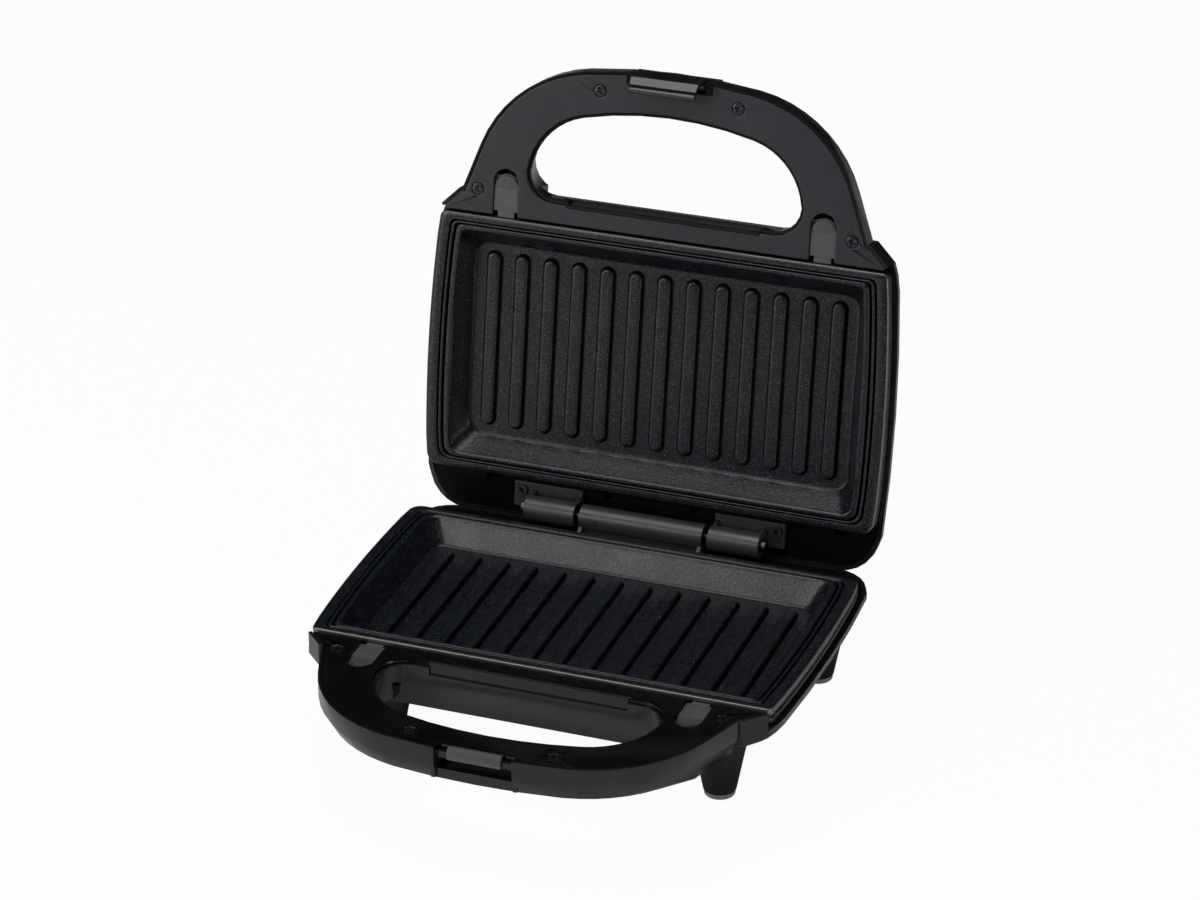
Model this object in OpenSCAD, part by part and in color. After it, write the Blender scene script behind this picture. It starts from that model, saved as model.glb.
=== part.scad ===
// Sandwich toaster with a hinged lid, carry handles and removable grill plates.
// Millimetres, +Z up. The origin lies on the worktop, under the middle between handle front and lid rear.
// Each half is drawn lying under a parting plane at height 0, with +Z pointing away from the food;
// the base is that half turned upside down, and the lid is the same half swung open on the hinge.

/* [Height and opening] */
// Height of the hinge and parting plane over the worktop
parting_z = 60.6; // [58:0.1:66]
// How far the lid stands open from closed, in degrees
open_angle = 100.2; // [90:0.1:104]
// Hinge axis behind the grill plates
hinge_back = 14.7; // [14:0.1:17]

/* [Grill plates] */
// Widest part of a plate
plate_w = 236; // [232:0.5:238]
// Depth of a plate from front to rear
plate_d = 130; // [128:0.5:131]
// Radius of the bowed plate sides
plate_bow_r = 830; // [600:10:1200]
// Where along the depth the plate is widest
plate_bow_y = 13; // [5:1:20]
// Width of the plate rim at each side of the cooking well
rim_side = 14; // [13:0.5:18]
// Width of the plate rim ahead of and behind the cooking well
rim_end = 8.6; // [8.2:0.1:11]
// How far the well walls slope in
well_slope = 8; // [6:0.5:10]
// Depth of the well floor under the rim
well_depth = 12.3; // [9:0.1:12.5]
// Wall of the cast plate
plate_wall = 2.2; // [1.8:0.1:2.6]
// Height of the plate skirt
skirt_h = 8.6; // [7:0.1:8.8]
// Number of grill ribs
rib_count = 13; // [9:2:15]
// Floor left free beside the outer ribs
rib_side_gap = 4.1; // [3:0.1:12]
// Floor left free at the ends of the ribs
rib_end_gap = 3.9; // [3:0.1:12]
// Width of a rib at its foot
rib_w = 6.2; // [4:0.1:7]
// Height of a rib over the well floor
rib_h = 2.6; // [1.5:0.1:4]

/* [Shells] */
// How far a shell reaches past the plate at each side
shell_side = 2.3; // [1.5:0.1:3]
// Wall of the shells
shell_wall = 2.4; // [2:0.1:2.6]
// Rim of the shell beside the plate, from the parting plane
rim_h = 9.3; // [9.3:0.1:9.8]
// Height of the upright shell side under the rim, from the parting plane
side_h = 12.5; // [12:0.1:13.5]
// Outside depth of one half from the parting plane
half_h = 31; // [30:0.2:33]
// Crown of the lid over its flat edge
lid_crown = 1.8; // [1:0.1:3]
// Front wall of the body ahead of the plate
front_reach = 12.5; // [12:0.1:13.2]
// Rear of the lid shell behind the hinge axis
lid_back = 8.8; // [8.6:0.1:9.2]
// Rear of the base shell behind the hinge axis
base_back = 7.3; // [6.7:0.1:7.4]
// Radius of the rear corners
rear_r = 20; // [18:1:27]

/* [Carry handles] */
// How far a handle reaches ahead of the body
handle_reach = 68.7; // [66.5:0.1:72.5]
// Radius of the handle crown
crown_r = 300; // [260:10:360]
// Half width of the handle crown
crown_half = 43; // [40:1:47]
// Radius of the handle shoulders
shoulder_r = 65; // [62:1:68]
// Lean of the handle legs, in degrees
leg_lean = 70; // [68:1:72]
// Depth of a handle from the parting plane
handle_h = 19.6; // [18.6:0.2:20.6]
// Width of the handle bar ahead of the finger opening
bar_w = 21; // [18.2:0.2:22.2]
// Half width of the finger opening
finger_half = 68.8; // [66:0.2:69]
// Shoulder radius of the finger opening
finger_r = 34; // [30:1:37]
// Rear corner radius of the finger opening
finger_corner_r = 13; // [10:1:16]
// Thickness of the flat handle covers
cover_t = 2.4; // [2:0.1:2.6]
// Width of the lip strip at the rear of the finger opening
strip_w = 98; // [80:1:104]

/* [Latch] */
// Width of the latch
latch_w = 35.2; // [30:0.2:36]
// Thickness of the latch claw
latch_t = 1.5; // [1.2:0.1:1.6]
// Depth that the latch claw reaches past the parting plane
latch_reach = 11.8; // [11.2:0.1:13]
// Radius of the latch pin
latch_pin_r = 1; // [0.8:0.1:1.1]
// How far the latch swings out, in degrees
latch_swing = 26; // [24:1:28]

/* [Plate catches] */
// Distance of a catch from the middle
catch_x = 80.8; // [80.2:0.2:81.2]
// Width of a catch
catch_w = 12.2; // [11:0.2:12.6]
// Travel of a catch
catch_travel = 2.5; // [2:0.1:2.6]

/* [Hinge] */
// Outer radius of the hinge barrels
barrel_r = 6.3; // [6:0.1:6.6]
// Radius of the hinge pin
pin_r = 2; // [1.6:0.1:2.4]
// Outer end of the lid barrels from the middle
barrel_out = 61; // [59:0.2:63]
// Inner end of the lid barrels from the middle
barrel_in = 34.8; // [33.6:0.2:38]
// Half length of the middle barrel
barrel_mid = 32; // [30:0.2:33]

/* [Feet] */
// Front feet from the middle
foot_front_x = 83.7; // [80:0.1:88]
// Rear feet from the middle
foot_rear_x = 94.4; // [90:0.1:96]
// Front feet behind the front edge of the plate
foot_front_in = 17.3; // [11:0.1:21]
// Rear feet ahead of the hinge axis
foot_rear_in = 11.5; // [7.7:0.1:13.7]
// Radius of a foot at the worktop
foot_r = 7.4; // [6:0.1:8.5]
// Taper of a foot, in degrees
foot_taper = 11; // [6:0.5:12]
// Thickness of a foot pad
pad_t = 2.6; // [2:0.1:4]

/* [Screws] */
// Rear cover screws from the middle
screw_x1 = 95.4; // [94.8:0.1:96]
// Rear cover screws ahead of the body front
screw_ahead = 0.7; // [0.1:0.1:1.5]
// Front cover screws from the middle
screw_x2 = 34.8; // [33:0.1:36]
// Front cover screws behind the handle front
screw_in = 11.4; // [10.2:0.1:12.2]
// Head radius of the cover screws
head_r = 2.8; // [2.4:0.1:3]
// Shank radius of the cover screws
shank_r = 1.5; // [1.2:0.1:1.6]

/* [Heating] */
// Radius of the tubular heating element
element_r = 3.2; // [2.6:0.1:3.3]
// Length of the element loop
element_w = 150; // [120:2:160]
// Depth of the element loop front to rear
element_d = 64; // [50:1:70]
// Bend radius of the element
element_bend = 16; // [12:1:20]
// Sheet thickness of the reflector pans
pan_t = 0.8; // [0.6:0.1:1]

/* [Indicator lamps] */
// Distance of a lamp from the middle
lamp_x = 11; // [8:0.5:16]
// Lamps along the depth of the lid
lamp_y = -46; // [-50:1:-30]
// Radius of a lamp lens
lamp_r = 3.6; // [3:0.1:5]

/* [Hidden] */
$fn = 48;

gap = 0.3;                                  // running and seating clearance
hinge_y = plate_d / 2 + hinge_back;
well_w = plate_w - 2 * rim_side;
well_d = plate_d - 2 * rim_end;
rib_pitch = (well_w - 2 * well_slope - 2 * rib_side_gap - rib_w) / (rib_count - 1);
rib_len = well_d - 2 * well_slope - 2 * rib_end_gap;
shell_w = plate_w + 2 * shell_side;
body_front = -plate_d / 2 - front_reach;
lid_rear = hinge_y + lid_back;
base_rear = hinge_y + base_back;
handle_front = body_front - handle_reach;
finger_front = handle_front + bar_w;
screw_y1 = body_front - screw_ahead;
screw_y2 = handle_front + screw_in;
foot_front_y = plate_d / 2 - foot_front_in;
foot_rear_y = hinge_y - foot_rear_in;
middle_y = 3.9;                             // from the middle of the plate to the middle of the whole
eps = 0.05;                                 // overshoot of a cut past a face
crest_h = 0.2;                              // top of the plate beads under the parting plane
flange_h = crest_h + 0.3;                   // flat outer flange of a plate
skirt_end = crest_h + skirt_h;
well_floor = crest_h + well_depth;
shell_top = 0.9;                            // top of the handle walls under the parting plane
cover_top = shell_top + gap;
cover_end = cover_top + cover_t;
ledge_h = cover_end + gap;                  // seat of the cover on walls and bosses
lip_w = shell_wall / 2 + 0.2;               // lip round the finger opening
lip_h = 3.1;                                // top of that lip under the parting plane
frame_top = skirt_end + gap;
frame_t = 2.4;
frame_end = frame_top + frame_t;
pan_top = frame_end + gap;
pan_depth = 10.8;
pan_floor = pan_top + pan_depth;
cover_edge = -plate_d / 2 - 1.4;            // rear edge of the handle covers
floor_in = handle_h - shell_wall;           // inside floor of the handle channel

// ---- outlines ----
function arc(cx, cy, r, a0, a1, n) =
    [for (i = [0 : n]) [cx + r * cos(a0 + (a1 - a0) * i / n), cy + r * sin(a0 + (a1 - a0) * i / n)]];
function mirrored(pts) = [for (i = [len(pts) - 1 : -1 : 0]) if (pts[i].x > 0.01) [-pts[i].x, pts[i].y]];
function bowed(half, bow_r, mid, y) = half - bow_r + sqrt(bow_r * bow_r - (y - mid) * (y - mid));
function rounded_rect(hx, hy, r, n = 5) = concat(
    arc(hx - r, hy - r, r, 0, 90, n), arc(-hx + r, hy - r, r, 90, 180, n),
    arc(-hx + r, -hy + r, r, 180, 270, n), arc(hx - r, -hy + r, r, 270, 360, n));

// right half of the plate outline, from front to rear
plate_front_r = 3;
plate_rear_r = 6;
function plate_half(d, dy) =
    let (h = plate_w / 2 - d, f = -plate_d / 2 + dy, b = plate_d / 2 - dy,
        xf = bowed(h, plate_bow_r, plate_bow_y, f), xb = bowed(h, plate_bow_r, plate_bow_y, b))
    concat([[xf - plate_front_r, f], [xf, f + plate_front_r]],
        [for (i = [1 : 8]) let (y = f + plate_front_r + (b - f - plate_front_r - plate_rear_r) * i / 9)
            [bowed(h, plate_bow_r, plate_bow_y, y), y]],
        arc(xb - plate_rear_r, b - plate_rear_r, plate_rear_r, 0, 90, 4));
function plate_outline(d, dy) = concat(plate_half(d, dy), mirrored(plate_half(d, dy)));

// right half of the body outline, with the side, front and rear each drawn in by its own amount
corner_run = 9.3;                           // sloping front corner beside the handle root
corner_soft = 2;                            // how far the side is drawn in where that corner starts
front_draft = 0.506;                        // lean of the lower front wall, sideways per millimetre of depth
step_y = lid_rear - rear_r;                 // where the side skin ends ahead of the rear corner
step_in = 1;
side_mid_y = 13;
side_bow_r = 830;
function body_side(h, y, y2) = bowed(h, side_bow_r, side_mid_y, y)
    - corner_soft * pow(max(1 - (y - y2) / 14, 0), 2);
function body_half(ds, df, dr, rear) =
    let (h = shell_w / 2 - ds, f = body_front + df, y2 = f + corner_run, y3 = y2 + 14,
        rc = max(rear_r - dr, 4), b = rear - dr,
        xs = bowed(h, side_bow_r, side_mid_y, step_y) - step_in,
        cy = b - rc, ys = max(min(step_y, b - 2), cy), a0 = asin((ys - cy) / rc),
        ye = min(step_y, ys))
    concat([[body_side(h, y2, y2) - corner_run, f]],
        [for (t = [0, 6]) [body_side(h, y2 + t, y2), y2 + t]],
        [for (i = [0 : 4]) let (y = y3 + (ye - 0.01 - y3) * i / 4) [body_side(h, y, y2), y]],
        arc(xs - rc, cy, rc, a0, 90, 6));
function body_outline(ds, df, dr, rear) =
    concat(body_half(ds, df, dr, rear), mirrored(body_half(ds, df, dr, rear)));

// right half of the handle outline, from the crown to the root, with the shoulders narrower by e
crown_angle = asin(crown_half / crown_r);
function handle_half(d, y_end, e) =
    let (r1 = crown_r - d, r2 = shoulder_r - d, cy = handle_front + crown_r,
        sx = (crown_r - shoulder_r) * sin(crown_angle) - e, sy = cy - (crown_r - shoulder_r) * cos(crown_angle),
        lx = sx + r2 * sin(leg_lean), ly = sy - r2 * cos(leg_lean))
    concat(arc(0, cy, r1, -90, -90 + crown_angle * (1 - e / crown_half), 2),
        arc(sx, sy, r2, -90 + crown_angle + 7, -90 + leg_lean, 8),
        [[lx + (y_end - ly) / tan(leg_lean), y_end]]);
function handle_outline(d, y_end, e = 0) = concat(handle_half(d, y_end, e), mirrored(handle_half(d, y_end, e)));

// finger opening, grown outwards by d, and by its own amount at the rear
corner_join = 1.2;                          // run between its front shoulder and its rear corner
function finger_half_pts(d, back) =
    let (k = crown_r * 0.6, cx = finger_half - finger_r, a = asin(cx / (k - finger_r)),
        ky = finger_front + k, cy = ky - (k - finger_r) * cos(a), b = body_front + back,
        last = min(asin((b - finger_corner_r - corner_join - d - cy) / (finger_r + d)), 0))
    concat(arc(0, ky, k + d, -90, -90 + a, 3), arc(cx, cy, finger_r + d, -90 + a + 9, last, 8),
        arc(finger_half - finger_corner_r, b - d - finger_corner_r, finger_corner_r + d, 0, 90, 5));
function finger_outline(d, back) = concat(finger_half_pts(d, back), mirrored(finger_half_pts(d, back)));

module slab(from, to) translate([0, 0, from]) linear_extrude(to - from) children();
module sides() {
    children();
    mirror([1, 0, 0]) children();
}
module place_base() translate([0, middle_y, parting_z]) mirror([0, 0, 1]) children();
module place_lid() translate([0, hinge_y + middle_y, parting_z]) rotate([-open_angle, 0, 0])
    translate([0, -hinge_y, 0]) children();

// ---- shells ----
// Each row: distance from the parting plane, then how far the side, the front and the rear are drawn in
function front_in(h) = front_draft * max(h - side_h, 0);
function dome_rows(crown) = [[side_h, 0, front_in(side_h), 0], [side_h + 1.5, 1, front_in(side_h + 1.5), 0],
    [side_h + 5, 5, front_in(side_h + 5), 0.5], [half_h - 8, 12.8, front_in(half_h - 8), 3.6],
    [half_h - 3, 23.5, front_in(half_h - 3), 12], [half_h - 0.7, 31.5, front_in(half_h - 0.7), 19],
    [half_h, 36, 14, 22], [half_h + crown, 70, 52, 56]];

module body_dome(rear, crown, t, from) {
    hull() {
        slab(from, side_h) polygon(body_outline(t, t + front_in(side_h), t, rear));
        for (row = dome_rows(crown))
            if (row[0] > side_h) slab(row[0] - t * 1.001 - eps, row[0] - t)
                polygon(body_outline(row[1] + t, row[2] + t, row[3] + t, rear));
    }
}
// Each row: distance from the outside face of the handle, then how far its outline is drawn in
handle_rows = [[5, 1.5], [1.6, 3], [0.4, 5], [0, 8]];
handle_straight = 10;                       // end of the upright part of the handle wall
shoulder_in = 1.7;                          // how much narrower the handle shoulders end
channel_step = 10;                          // the inside of the handle narrows past this height
channel_in = 2;
finger_flare = 1.11;                        // how far the finger opening widens through half_h
handle_root = body_front + 7.5;             // the handle legs end here inside the body
root_front = body_front - 20.5;             // the handle back rises from here to the body
root_half = 89;
module handle_solid() {
    hull() {
        slab(shell_top, handle_straight) polygon(handle_outline(0, handle_root));
        for (row = handle_rows)
            slab(handle_h - row[0] - eps, handle_h - row[0]) polygon(handle_outline(row[1], handle_root, shoulder_in));
        slab(handle_straight, handle_h + 3.2) polygon([[-root_half, root_front], [root_half, root_front],
            [root_half + 3, handle_root - 2], [-root_half - 3, handle_root - 2]]);
    }
}

// keeps what lies ahead of y, with sloping corners beside the plate
corner_half = shell_w / 2 - 8.8;
module front_of(y) intersection() {
    children();
    polygon([[-shell_w, y - shell_w], [shell_w, y - shell_w], [shell_w, y - 5 - (shell_w - corner_half - 5) * 0.94],
        [corner_half + 5, y - 5], [corner_half, y], [-corner_half, y],
        [-corner_half - 5, y - 5], [-shell_w, y - 5 - (shell_w - corner_half - 5) * 0.94]]);
}

module lip_strip() { translate([-strip_w / 2, body_front - 1]) square([strip_w, shell_wall + 1]); }
module channel(from, to, t, finger_t) {
    slab(from, to) difference() {
        front_of(cover_edge + gap) polygon(handle_outline(t, cover_edge + 6));
        polygon(finger_outline(finger_t, front_in(to) + shell_wall));
    }
}
module shell(rear, crown) {
    difference() {
        union() {
            body_dome(rear, crown, 0, rim_h);
            handle_solid();
            slab(shell_top, side_h) front_of(cover_edge + gap) polygon(body_outline(0, 0, 0, rear));
        }
        // hollow body
        body_dome(rear, crown, shell_wall, shell_top - 1);
        // hollow handle
        channel(ledge_h, channel_step, shell_wall, shell_wall + 0.8);
        channel(channel_step - eps, floor_in, shell_wall + channel_in, shell_wall + channel_in + 0.8);
        // rebate that takes the handle cover
        slab(shell_top - 1, ledge_h) difference() {
            union() {
                front_of(cover_edge + gap) polygon(handle_outline(shell_wall / 2, cover_edge + 6));
                front_of(cover_edge + gap) polygon(body_outline(shell_wall / 2, shell_wall / 2, 4, rear));
            }
            polygon(finger_outline(lip_w, lip_w));
            lip_strip();
        }
        // lower lip round the finger opening
        slab(shell_top - 1, lip_h) difference() {
            polygon(finger_outline(lip_w + eps, lip_w + eps));
            lip_strip();
        }
        // finger opening that widens away from the parting plane, at its sides and then at its rear
        slab(-5, half_h + 10) polygon(finger_outline(0, 0));
        translate([0, body_front, lip_h]) linear_extrude(half_h - lip_h, scale = [1, 1] * finger_flare)
            translate([0, -body_front]) polygon(finger_outline(0, 0));
        profile_x(finger_half - 2, [[body_front - 4, side_h], [body_front, side_h],
            [body_front + front_in(half_h + 2), half_h + 2], [body_front - 4, half_h + 2]]);
        // lowered face of the lip strip
        translate([-strip_w / 2, body_front - 1, -1]) cube([strip_w, 1 + shell_wall / 2, 8]);
    }
}

boss_r = 4.4;
module screw_bosses() {
    difference() {
        sides() {
            translate([screw_x1, screw_y1, ledge_h]) cylinder(r = boss_r, h = floor_in + 1 - ledge_h);
            translate([screw_x2, screw_y2, ledge_h]) cylinder(r = boss_r, h = floor_in + 1 - ledge_h);
        }
        cover_screw_places() translate([0, 0, ledge_h - 1]) cylinder(r = shank_r + 0.1, h = 9);
    }
}
module cover_screw_places() {
    sides() {
        translate([screw_x1, screw_y1, 0]) children();
        translate([screw_x2, screw_y2, 0]) children();
    }
}

// posts that carry the frame, the reflector pan and their screws
frame_post_x = shell_w / 2 - 12.8;
frame_post_y = [-1, 0, 1] * (plate_d / 2 - 15);
post_r = 3.4;
post_top = pan_top + pan_t + gap;
module frame_post_places() {
    for (y = frame_post_y) sides() translate([frame_post_x, y, 0]) children();
}
module leg_boss_places() {
    sides() {
        translate([foot_front_x, -foot_front_y, leg_boss_top[0]]) children();
        translate([foot_rear_x, foot_rear_y, leg_boss_top[1]]) children();
    }
}
leg_shank_r = 1.6;
leg_boss_r = 5;
leg_boss_top = [pan_floor + 1, 17];         // under the reflector pan at the front, free at the rear
module inner_posts(rear, crown, with_legs) {
    difference() {
        intersection() {
            union() {
                frame_post_places() translate([0, 0, post_top]) cylinder(r = post_r, h = half_h - post_top);
                if (with_legs) leg_boss_places() cylinder(r = leg_boss_r, h = half_h);
            }
            body_dome(rear, crown, shell_wall / 2, rim_h);
        }
        frame_post_places() translate([0, 0, post_top - 1]) cylinder(r = shank_r + 0.1, h = 5);
        if (with_legs) leg_boss_places() translate([0, 0, -1]) cylinder(r = leg_shank_r + 0.1, h = 30);
    }
}

// rails and stops for the plate catches
catch_top = cover_top + 1;
catch_flange_end = ledge_h + 2.1;
catch_flange_half = 7.8;
catch_spring_h = catch_flange_end + 3;
catch_front_y = -81;                        // middle of the round front of a catch tab
catch_block_front = -86;
catch_stop_y = catch_block_front - catch_travel - 1;
rail_top = catch_flange_end + gap;
rail_in = 4.8;
module catch_rails() {
    sides() {
        for (dx = [-rail_in - 1.6, rail_in])
            translate([catch_x + dx, catch_block_front + 2.5, rail_top]) cube([1.6, 12, floor_in + 0.5 - rail_top]);
        translate([catch_x - 4, catch_stop_y - 1.6, rail_top]) cube([8, 1.6, floor_in + 0.5 - rail_top]);
    }
}

// latch recess in the handle crown
recess_gap = 0.6;
recess_half = latch_w / 2 + 1.2;            // in the base
ear_half = latch_w / 2 + recess_gap;        // in the lid
keeper_half = 13;
recess_floor = handle_front + 3.7;
undercut_floor = handle_front + 9;
undercut_h = 7.2;
undercut_end = latch_reach + 1.3;           // room for the claw as it swings
latch_pin_y = handle_front + 2.6;
latch_pin_h = 2.6;
latch_top_h = 3.75;                         // outer top edge of the latch over the parting plane
lid_recess_floor = handle_front + 6.4;
lid_recess_h = latch_pin_h + 4;
wall_start = handle_front + 2;              // inside the crown wall of the handle
wall_end = floor_in + 0.1;                  // into the floor of the handle

gland_x = -40;
gland_h = 19;
gland_r = 5.4;
gland_out = 4.5;                            // how far the gland stands out behind the base
gland_in = 12;

module base_shell() {
    color("#151515") place_base() {
        difference() {
            union() {
                shell(base_rear, 0);
                // walls behind the latch recess and round the pocket for the claw
                slab(ledge_h, undercut_end + 2) translate([-recess_half - 2, recess_floor])
                    square([2 * recess_half + 4, undercut_floor + 2 - recess_floor]);
                slab(ledge_h, wall_end) translate([-recess_half - 2, recess_floor])
                    square([2 * recess_half + 4, 2]);
                slab(ledge_h, wall_end) for (s = [-1, 1])
                    translate([s < 0 ? -recess_half - 2 : recess_half, wall_start])
                        square([2, recess_floor + 1 - wall_start]);
            }
            translate([-recess_half, handle_front - 8, -10])
                cube([2 * recess_half, recess_floor - handle_front + 8, 60]);
            translate([-recess_half, handle_front - 8, undercut_h])
                cube([2 * recess_half, undercut_floor - handle_front + 8, undercut_end - undercut_h]);
            translate([gland_x, base_rear - gland_in, gland_h]) rotate([-90, 0, 0]) cylinder(r = gland_r + gap, h = 20);
            leg_boss_places() cylinder(r = leg_shank_r + 0.1, h = 30);
        }
        screw_bosses();
        inner_posts(base_rear, 0, true);
        catch_rails();
    }
}

module lid_shell() {
    color("#151515") place_lid() {
        difference() {
            union() {
                shell(lid_rear, lid_crown);
                // box round the latch pin
                slab(ledge_h, wall_end) translate([-ear_half - 3, wall_start])
                    square([2 * ear_half + 6, lid_recess_floor + 2 - wall_start]);
                slab(shell_top, ledge_h + 1) for (s = [-1, 1])
                    translate([s < 0 ? -ear_half - 3 : ear_half, wall_start])
                        square([3, lid_recess_floor - wall_start]);
            }
            translate([-ear_half, handle_front - 8, -10])
                cube([2 * ear_half, lid_recess_floor - handle_front + 8, lid_recess_h + 10]);
            translate([-ear_half - 2, latch_pin_y, latch_pin_h]) rotate([0, 90, 0])
                cylinder(r = latch_pin_r + 0.02, h = 2 * ear_half + 4);
            for (s = [-1, 1]) translate([s * lamp_x, lamp_y, half_h - 6]) cylinder(r = lamp_r + 0.15, h = 12);
        }
        screw_bosses();
        inner_posts(lid_rear, lid_crown, false);
        catch_rails();
    }
}

// ---- handle covers ----
slot_arch_y = catch_front_y - catch_travel;
slot_half = catch_w / 2 + gap;
module catch_slot() {
    translate([catch_x - slot_half, slot_arch_y]) square([2 * slot_half, cover_edge + 5 - slot_arch_y]);
    translate([catch_x, slot_arch_y]) circle(r = slot_half);
}
module handle_cover(notch_half, notch_y) {
    difference() {
        slab(cover_top, cover_end) difference() {
            union() {
                front_of(cover_edge) polygon(handle_outline(shell_wall / 2 + gap, cover_edge + 6));
                front_of(cover_edge) polygon(body_outline(shell_wall / 2 + gap, shell_wall / 2 + gap, 4, base_rear));
            }
            polygon(finger_outline(lip_w + gap, lip_w + gap));
            translate([-strip_w / 2 - gap, body_front - 1]) square([strip_w + 2 * gap, 1 + shell_wall + gap]);
            sides() catch_slot();
            translate([-notch_half, handle_front - 5]) square([2 * notch_half, notch_y - handle_front + 5]);
        }
        cover_screw_places() translate([0, 0, -1]) cylinder(r = shank_r + gap, h = 10);
        cover_screw_places() translate([0, 0, -1]) cylinder(r = head_r + 0.4, h = head_seat + 1);
    }
}
head_seat = cover_top + 1.2;
head_h = 0.9;
keeper_edge = recess_floor + 2;
module base_handle_cover() { color("#1b1b1c") place_base() handle_cover(recess_half + gap, keeper_edge + gap); }
module lid_handle_cover() { color("#2a2b2d") place_lid() handle_cover(ear_half + 3 + gap, lid_recess_floor + gap); }

// pan-head screw with a cross recess; the underside of its head is at height 0
module cross_screw(head, shank, head_height, len, turn) {
    difference() {
        union() {
            translate([0, 0, -head_height]) cylinder(r = head, h = head_height);
            cylinder(r = shank, h = len);
        }
        for (a = [0, 90]) rotate([0, 0, a + turn])
            translate([-head * 0.62, -0.45, -head_height - 1]) cube([head * 1.24, 0.9, 1.8]);
    }
}
module cover_screws() {
    cover_screw_places() translate([0, 0, head_seat - 0.02]) cross_screw(head_r, shank_r, head_h, 8, 25);
}
module base_cover_screws() { color("#3c3f42") place_base() cover_screws(); }
module lid_cover_screws() { color("#3c3f42") place_lid() cover_screws(); }

// ---- frames that carry plates, reflectors and hinge ----
clip_x = 90;
clip_half = 6;
lug_h = 5;
lug_t = 2;
lug_out = 2.4;
module clip_places() { sides() translate([clip_x, plate_d / 2, 0]) children(); }
leaf_screw_x = 66.5;
leaf_screw_y = hinge_y - 6.7;
mid_screw_x = 22;
mid_screw_y = hinge_y - 9;
leaf_end = frame_top - gap;
leaf_t = 2.4;
module lid_leaf_screw_places() { sides() translate([leaf_screw_x, leaf_screw_y, leaf_end - leaf_t]) children(); }
module base_leaf_screw_places() { sides() translate([mid_screw_x, mid_screw_y, leaf_end - leaf_t]) children(); }

module frame_sheet(rear) {
    keep = cover_edge + 3;
    slab(frame_top, frame_end) intersection() {
        polygon(body_outline(shell_wall + gap, shell_wall + gap, shell_wall + gap, rear));
        translate([-shell_w, keep]) square([2 * shell_w, shell_w]);
    }
}
module half_frame(rear) {
    difference() {
        union() {
            frame_sheet(rear);
            // clips over the rear lugs of the plate
            clip_places() {
                translate([-clip_half, lug_out + gap, lug_h - gap - 1.8])
                    cube([2 * clip_half, 2, frame_end - lug_h + gap + 1.8]);
                translate([-clip_half, 0.4, lug_h - gap - 1.8]) cube([2 * clip_half, lug_out + 1, 1.8]);
            }
        }
        slab(frame_top - 1, half_h) polygon(rounded_rect(well_w / 2 - 1, well_d / 2 - 1, 8));
        frame_post_places() translate([0, 0, frame_top - 1]) cylinder(r = shank_r + 0.2, h = 8);
        lid_leaf_screw_places() cylinder(r = shank_r + 0.1, h = 12);
        base_leaf_screw_places() cylinder(r = shank_r + 0.1, h = 12);
    }
}
module base_frame() { color("#0f0f0f") place_base() half_frame(base_rear); }
module lid_frame() { color("#0f0f0f") place_lid() half_frame(lid_rear); }
module base_frame_screws() { color("#3c3f42") place_base() frame_screws(); }
module lid_frame_screws() { color("#3c3f42") place_lid() frame_screws(); }
module frame_screws() {
    frame_post_places() translate([0, 0, frame_top - 0.02]) cross_screw(2.6, shank_r, 0.7, 7.4, 10);
}

// ---- reflector pans, elements and thermostats ----
pan_x0 = well_w / 2 - 1;
pan_y0 = well_d / 2 - 0.4;
pan_flange_x = frame_post_x + 3;
module pan_form(d, from, to) {
    hull() {
        slab(from, from + 0.1) polygon(rounded_rect(pan_x0 - d, pan_y0 - d, 10));
        slab(to - 0.1, to) polygon(rounded_rect(pan_x0 - 6 - d, pan_y0 - 4 - d, 10));
    }
}
module reflector() {
    difference() {
        union() {
            slab(pan_top, pan_top + pan_t) polygon(rounded_rect(pan_flange_x, pan_y0 + 1.5, 8));
            pan_form(0, pan_top + 0.2, pan_floor);
        }
        pan_form(pan_t, pan_top - 0.4, pan_floor - pan_t);
        frame_post_places() translate([0, 0, pan_top - 1]) cylinder(r = shank_r + 0.2, h = 4);
        for (s = [-1, 1]) translate([s * terminal_x, 30, element_h]) rotate([-90, 0, 0])
            cylinder(r = element_r + 0.6, h = 60);
        for (s = [-1, 1]) translate([s * 40, 0, pan_floor - 4]) cylinder(r = 1.2, h = 8);
    }
}
module base_reflector() { color("#c2c5c7") place_base() reflector(); }
module lid_reflector() { color("#c2c5c7") place_lid() reflector(); }

terminal_x = 12;
terminal_end = 63;
element_h = well_floor + plate_wall + gap + element_r;
module tube_bend(cx, cy, a0) {
    translate([cx, cy, 0]) rotate([0, 0, a0]) rotate_extrude(angle = 90) translate([element_bend, 0]) circle(r = element_r);
}
module rod_y(x, y0, y1, r) { translate([x, y0, 0]) rotate([-90, 0, 0]) cylinder(r = r, h = y1 - y0); }
module rod_x(x0, x1, y, r) { translate([x0, y, 0]) rotate([0, 90, 0]) cylinder(r = r, h = x1 - x0); }
module element() {
    hx = element_w / 2;
    hy = element_d / 2;
    r = element_bend;
    translate([0, 0, element_h]) {
        sides() {
            rod_y(terminal_x, hy + r, terminal_end - 8, element_r);
            rod_y(terminal_x, terminal_end - 8.5, terminal_end, element_r * 0.6);
            tube_bend(terminal_x + r, hy + r, 180);
            rod_x(terminal_x + r, hx - r, hy, element_r);
            tube_bend(hx - r, hy - r, 0);
            rod_y(hx, -hy + r, hy - r, element_r);
            tube_bend(hx - r, -hy + r, 270);
        }
        rod_x(-hx + r, hx - r, -hy, element_r);
    }
}
module base_element() { color("#55524e") place_base() element(); }
module lid_element() { color("#55524e") place_lid() element(); }

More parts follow.
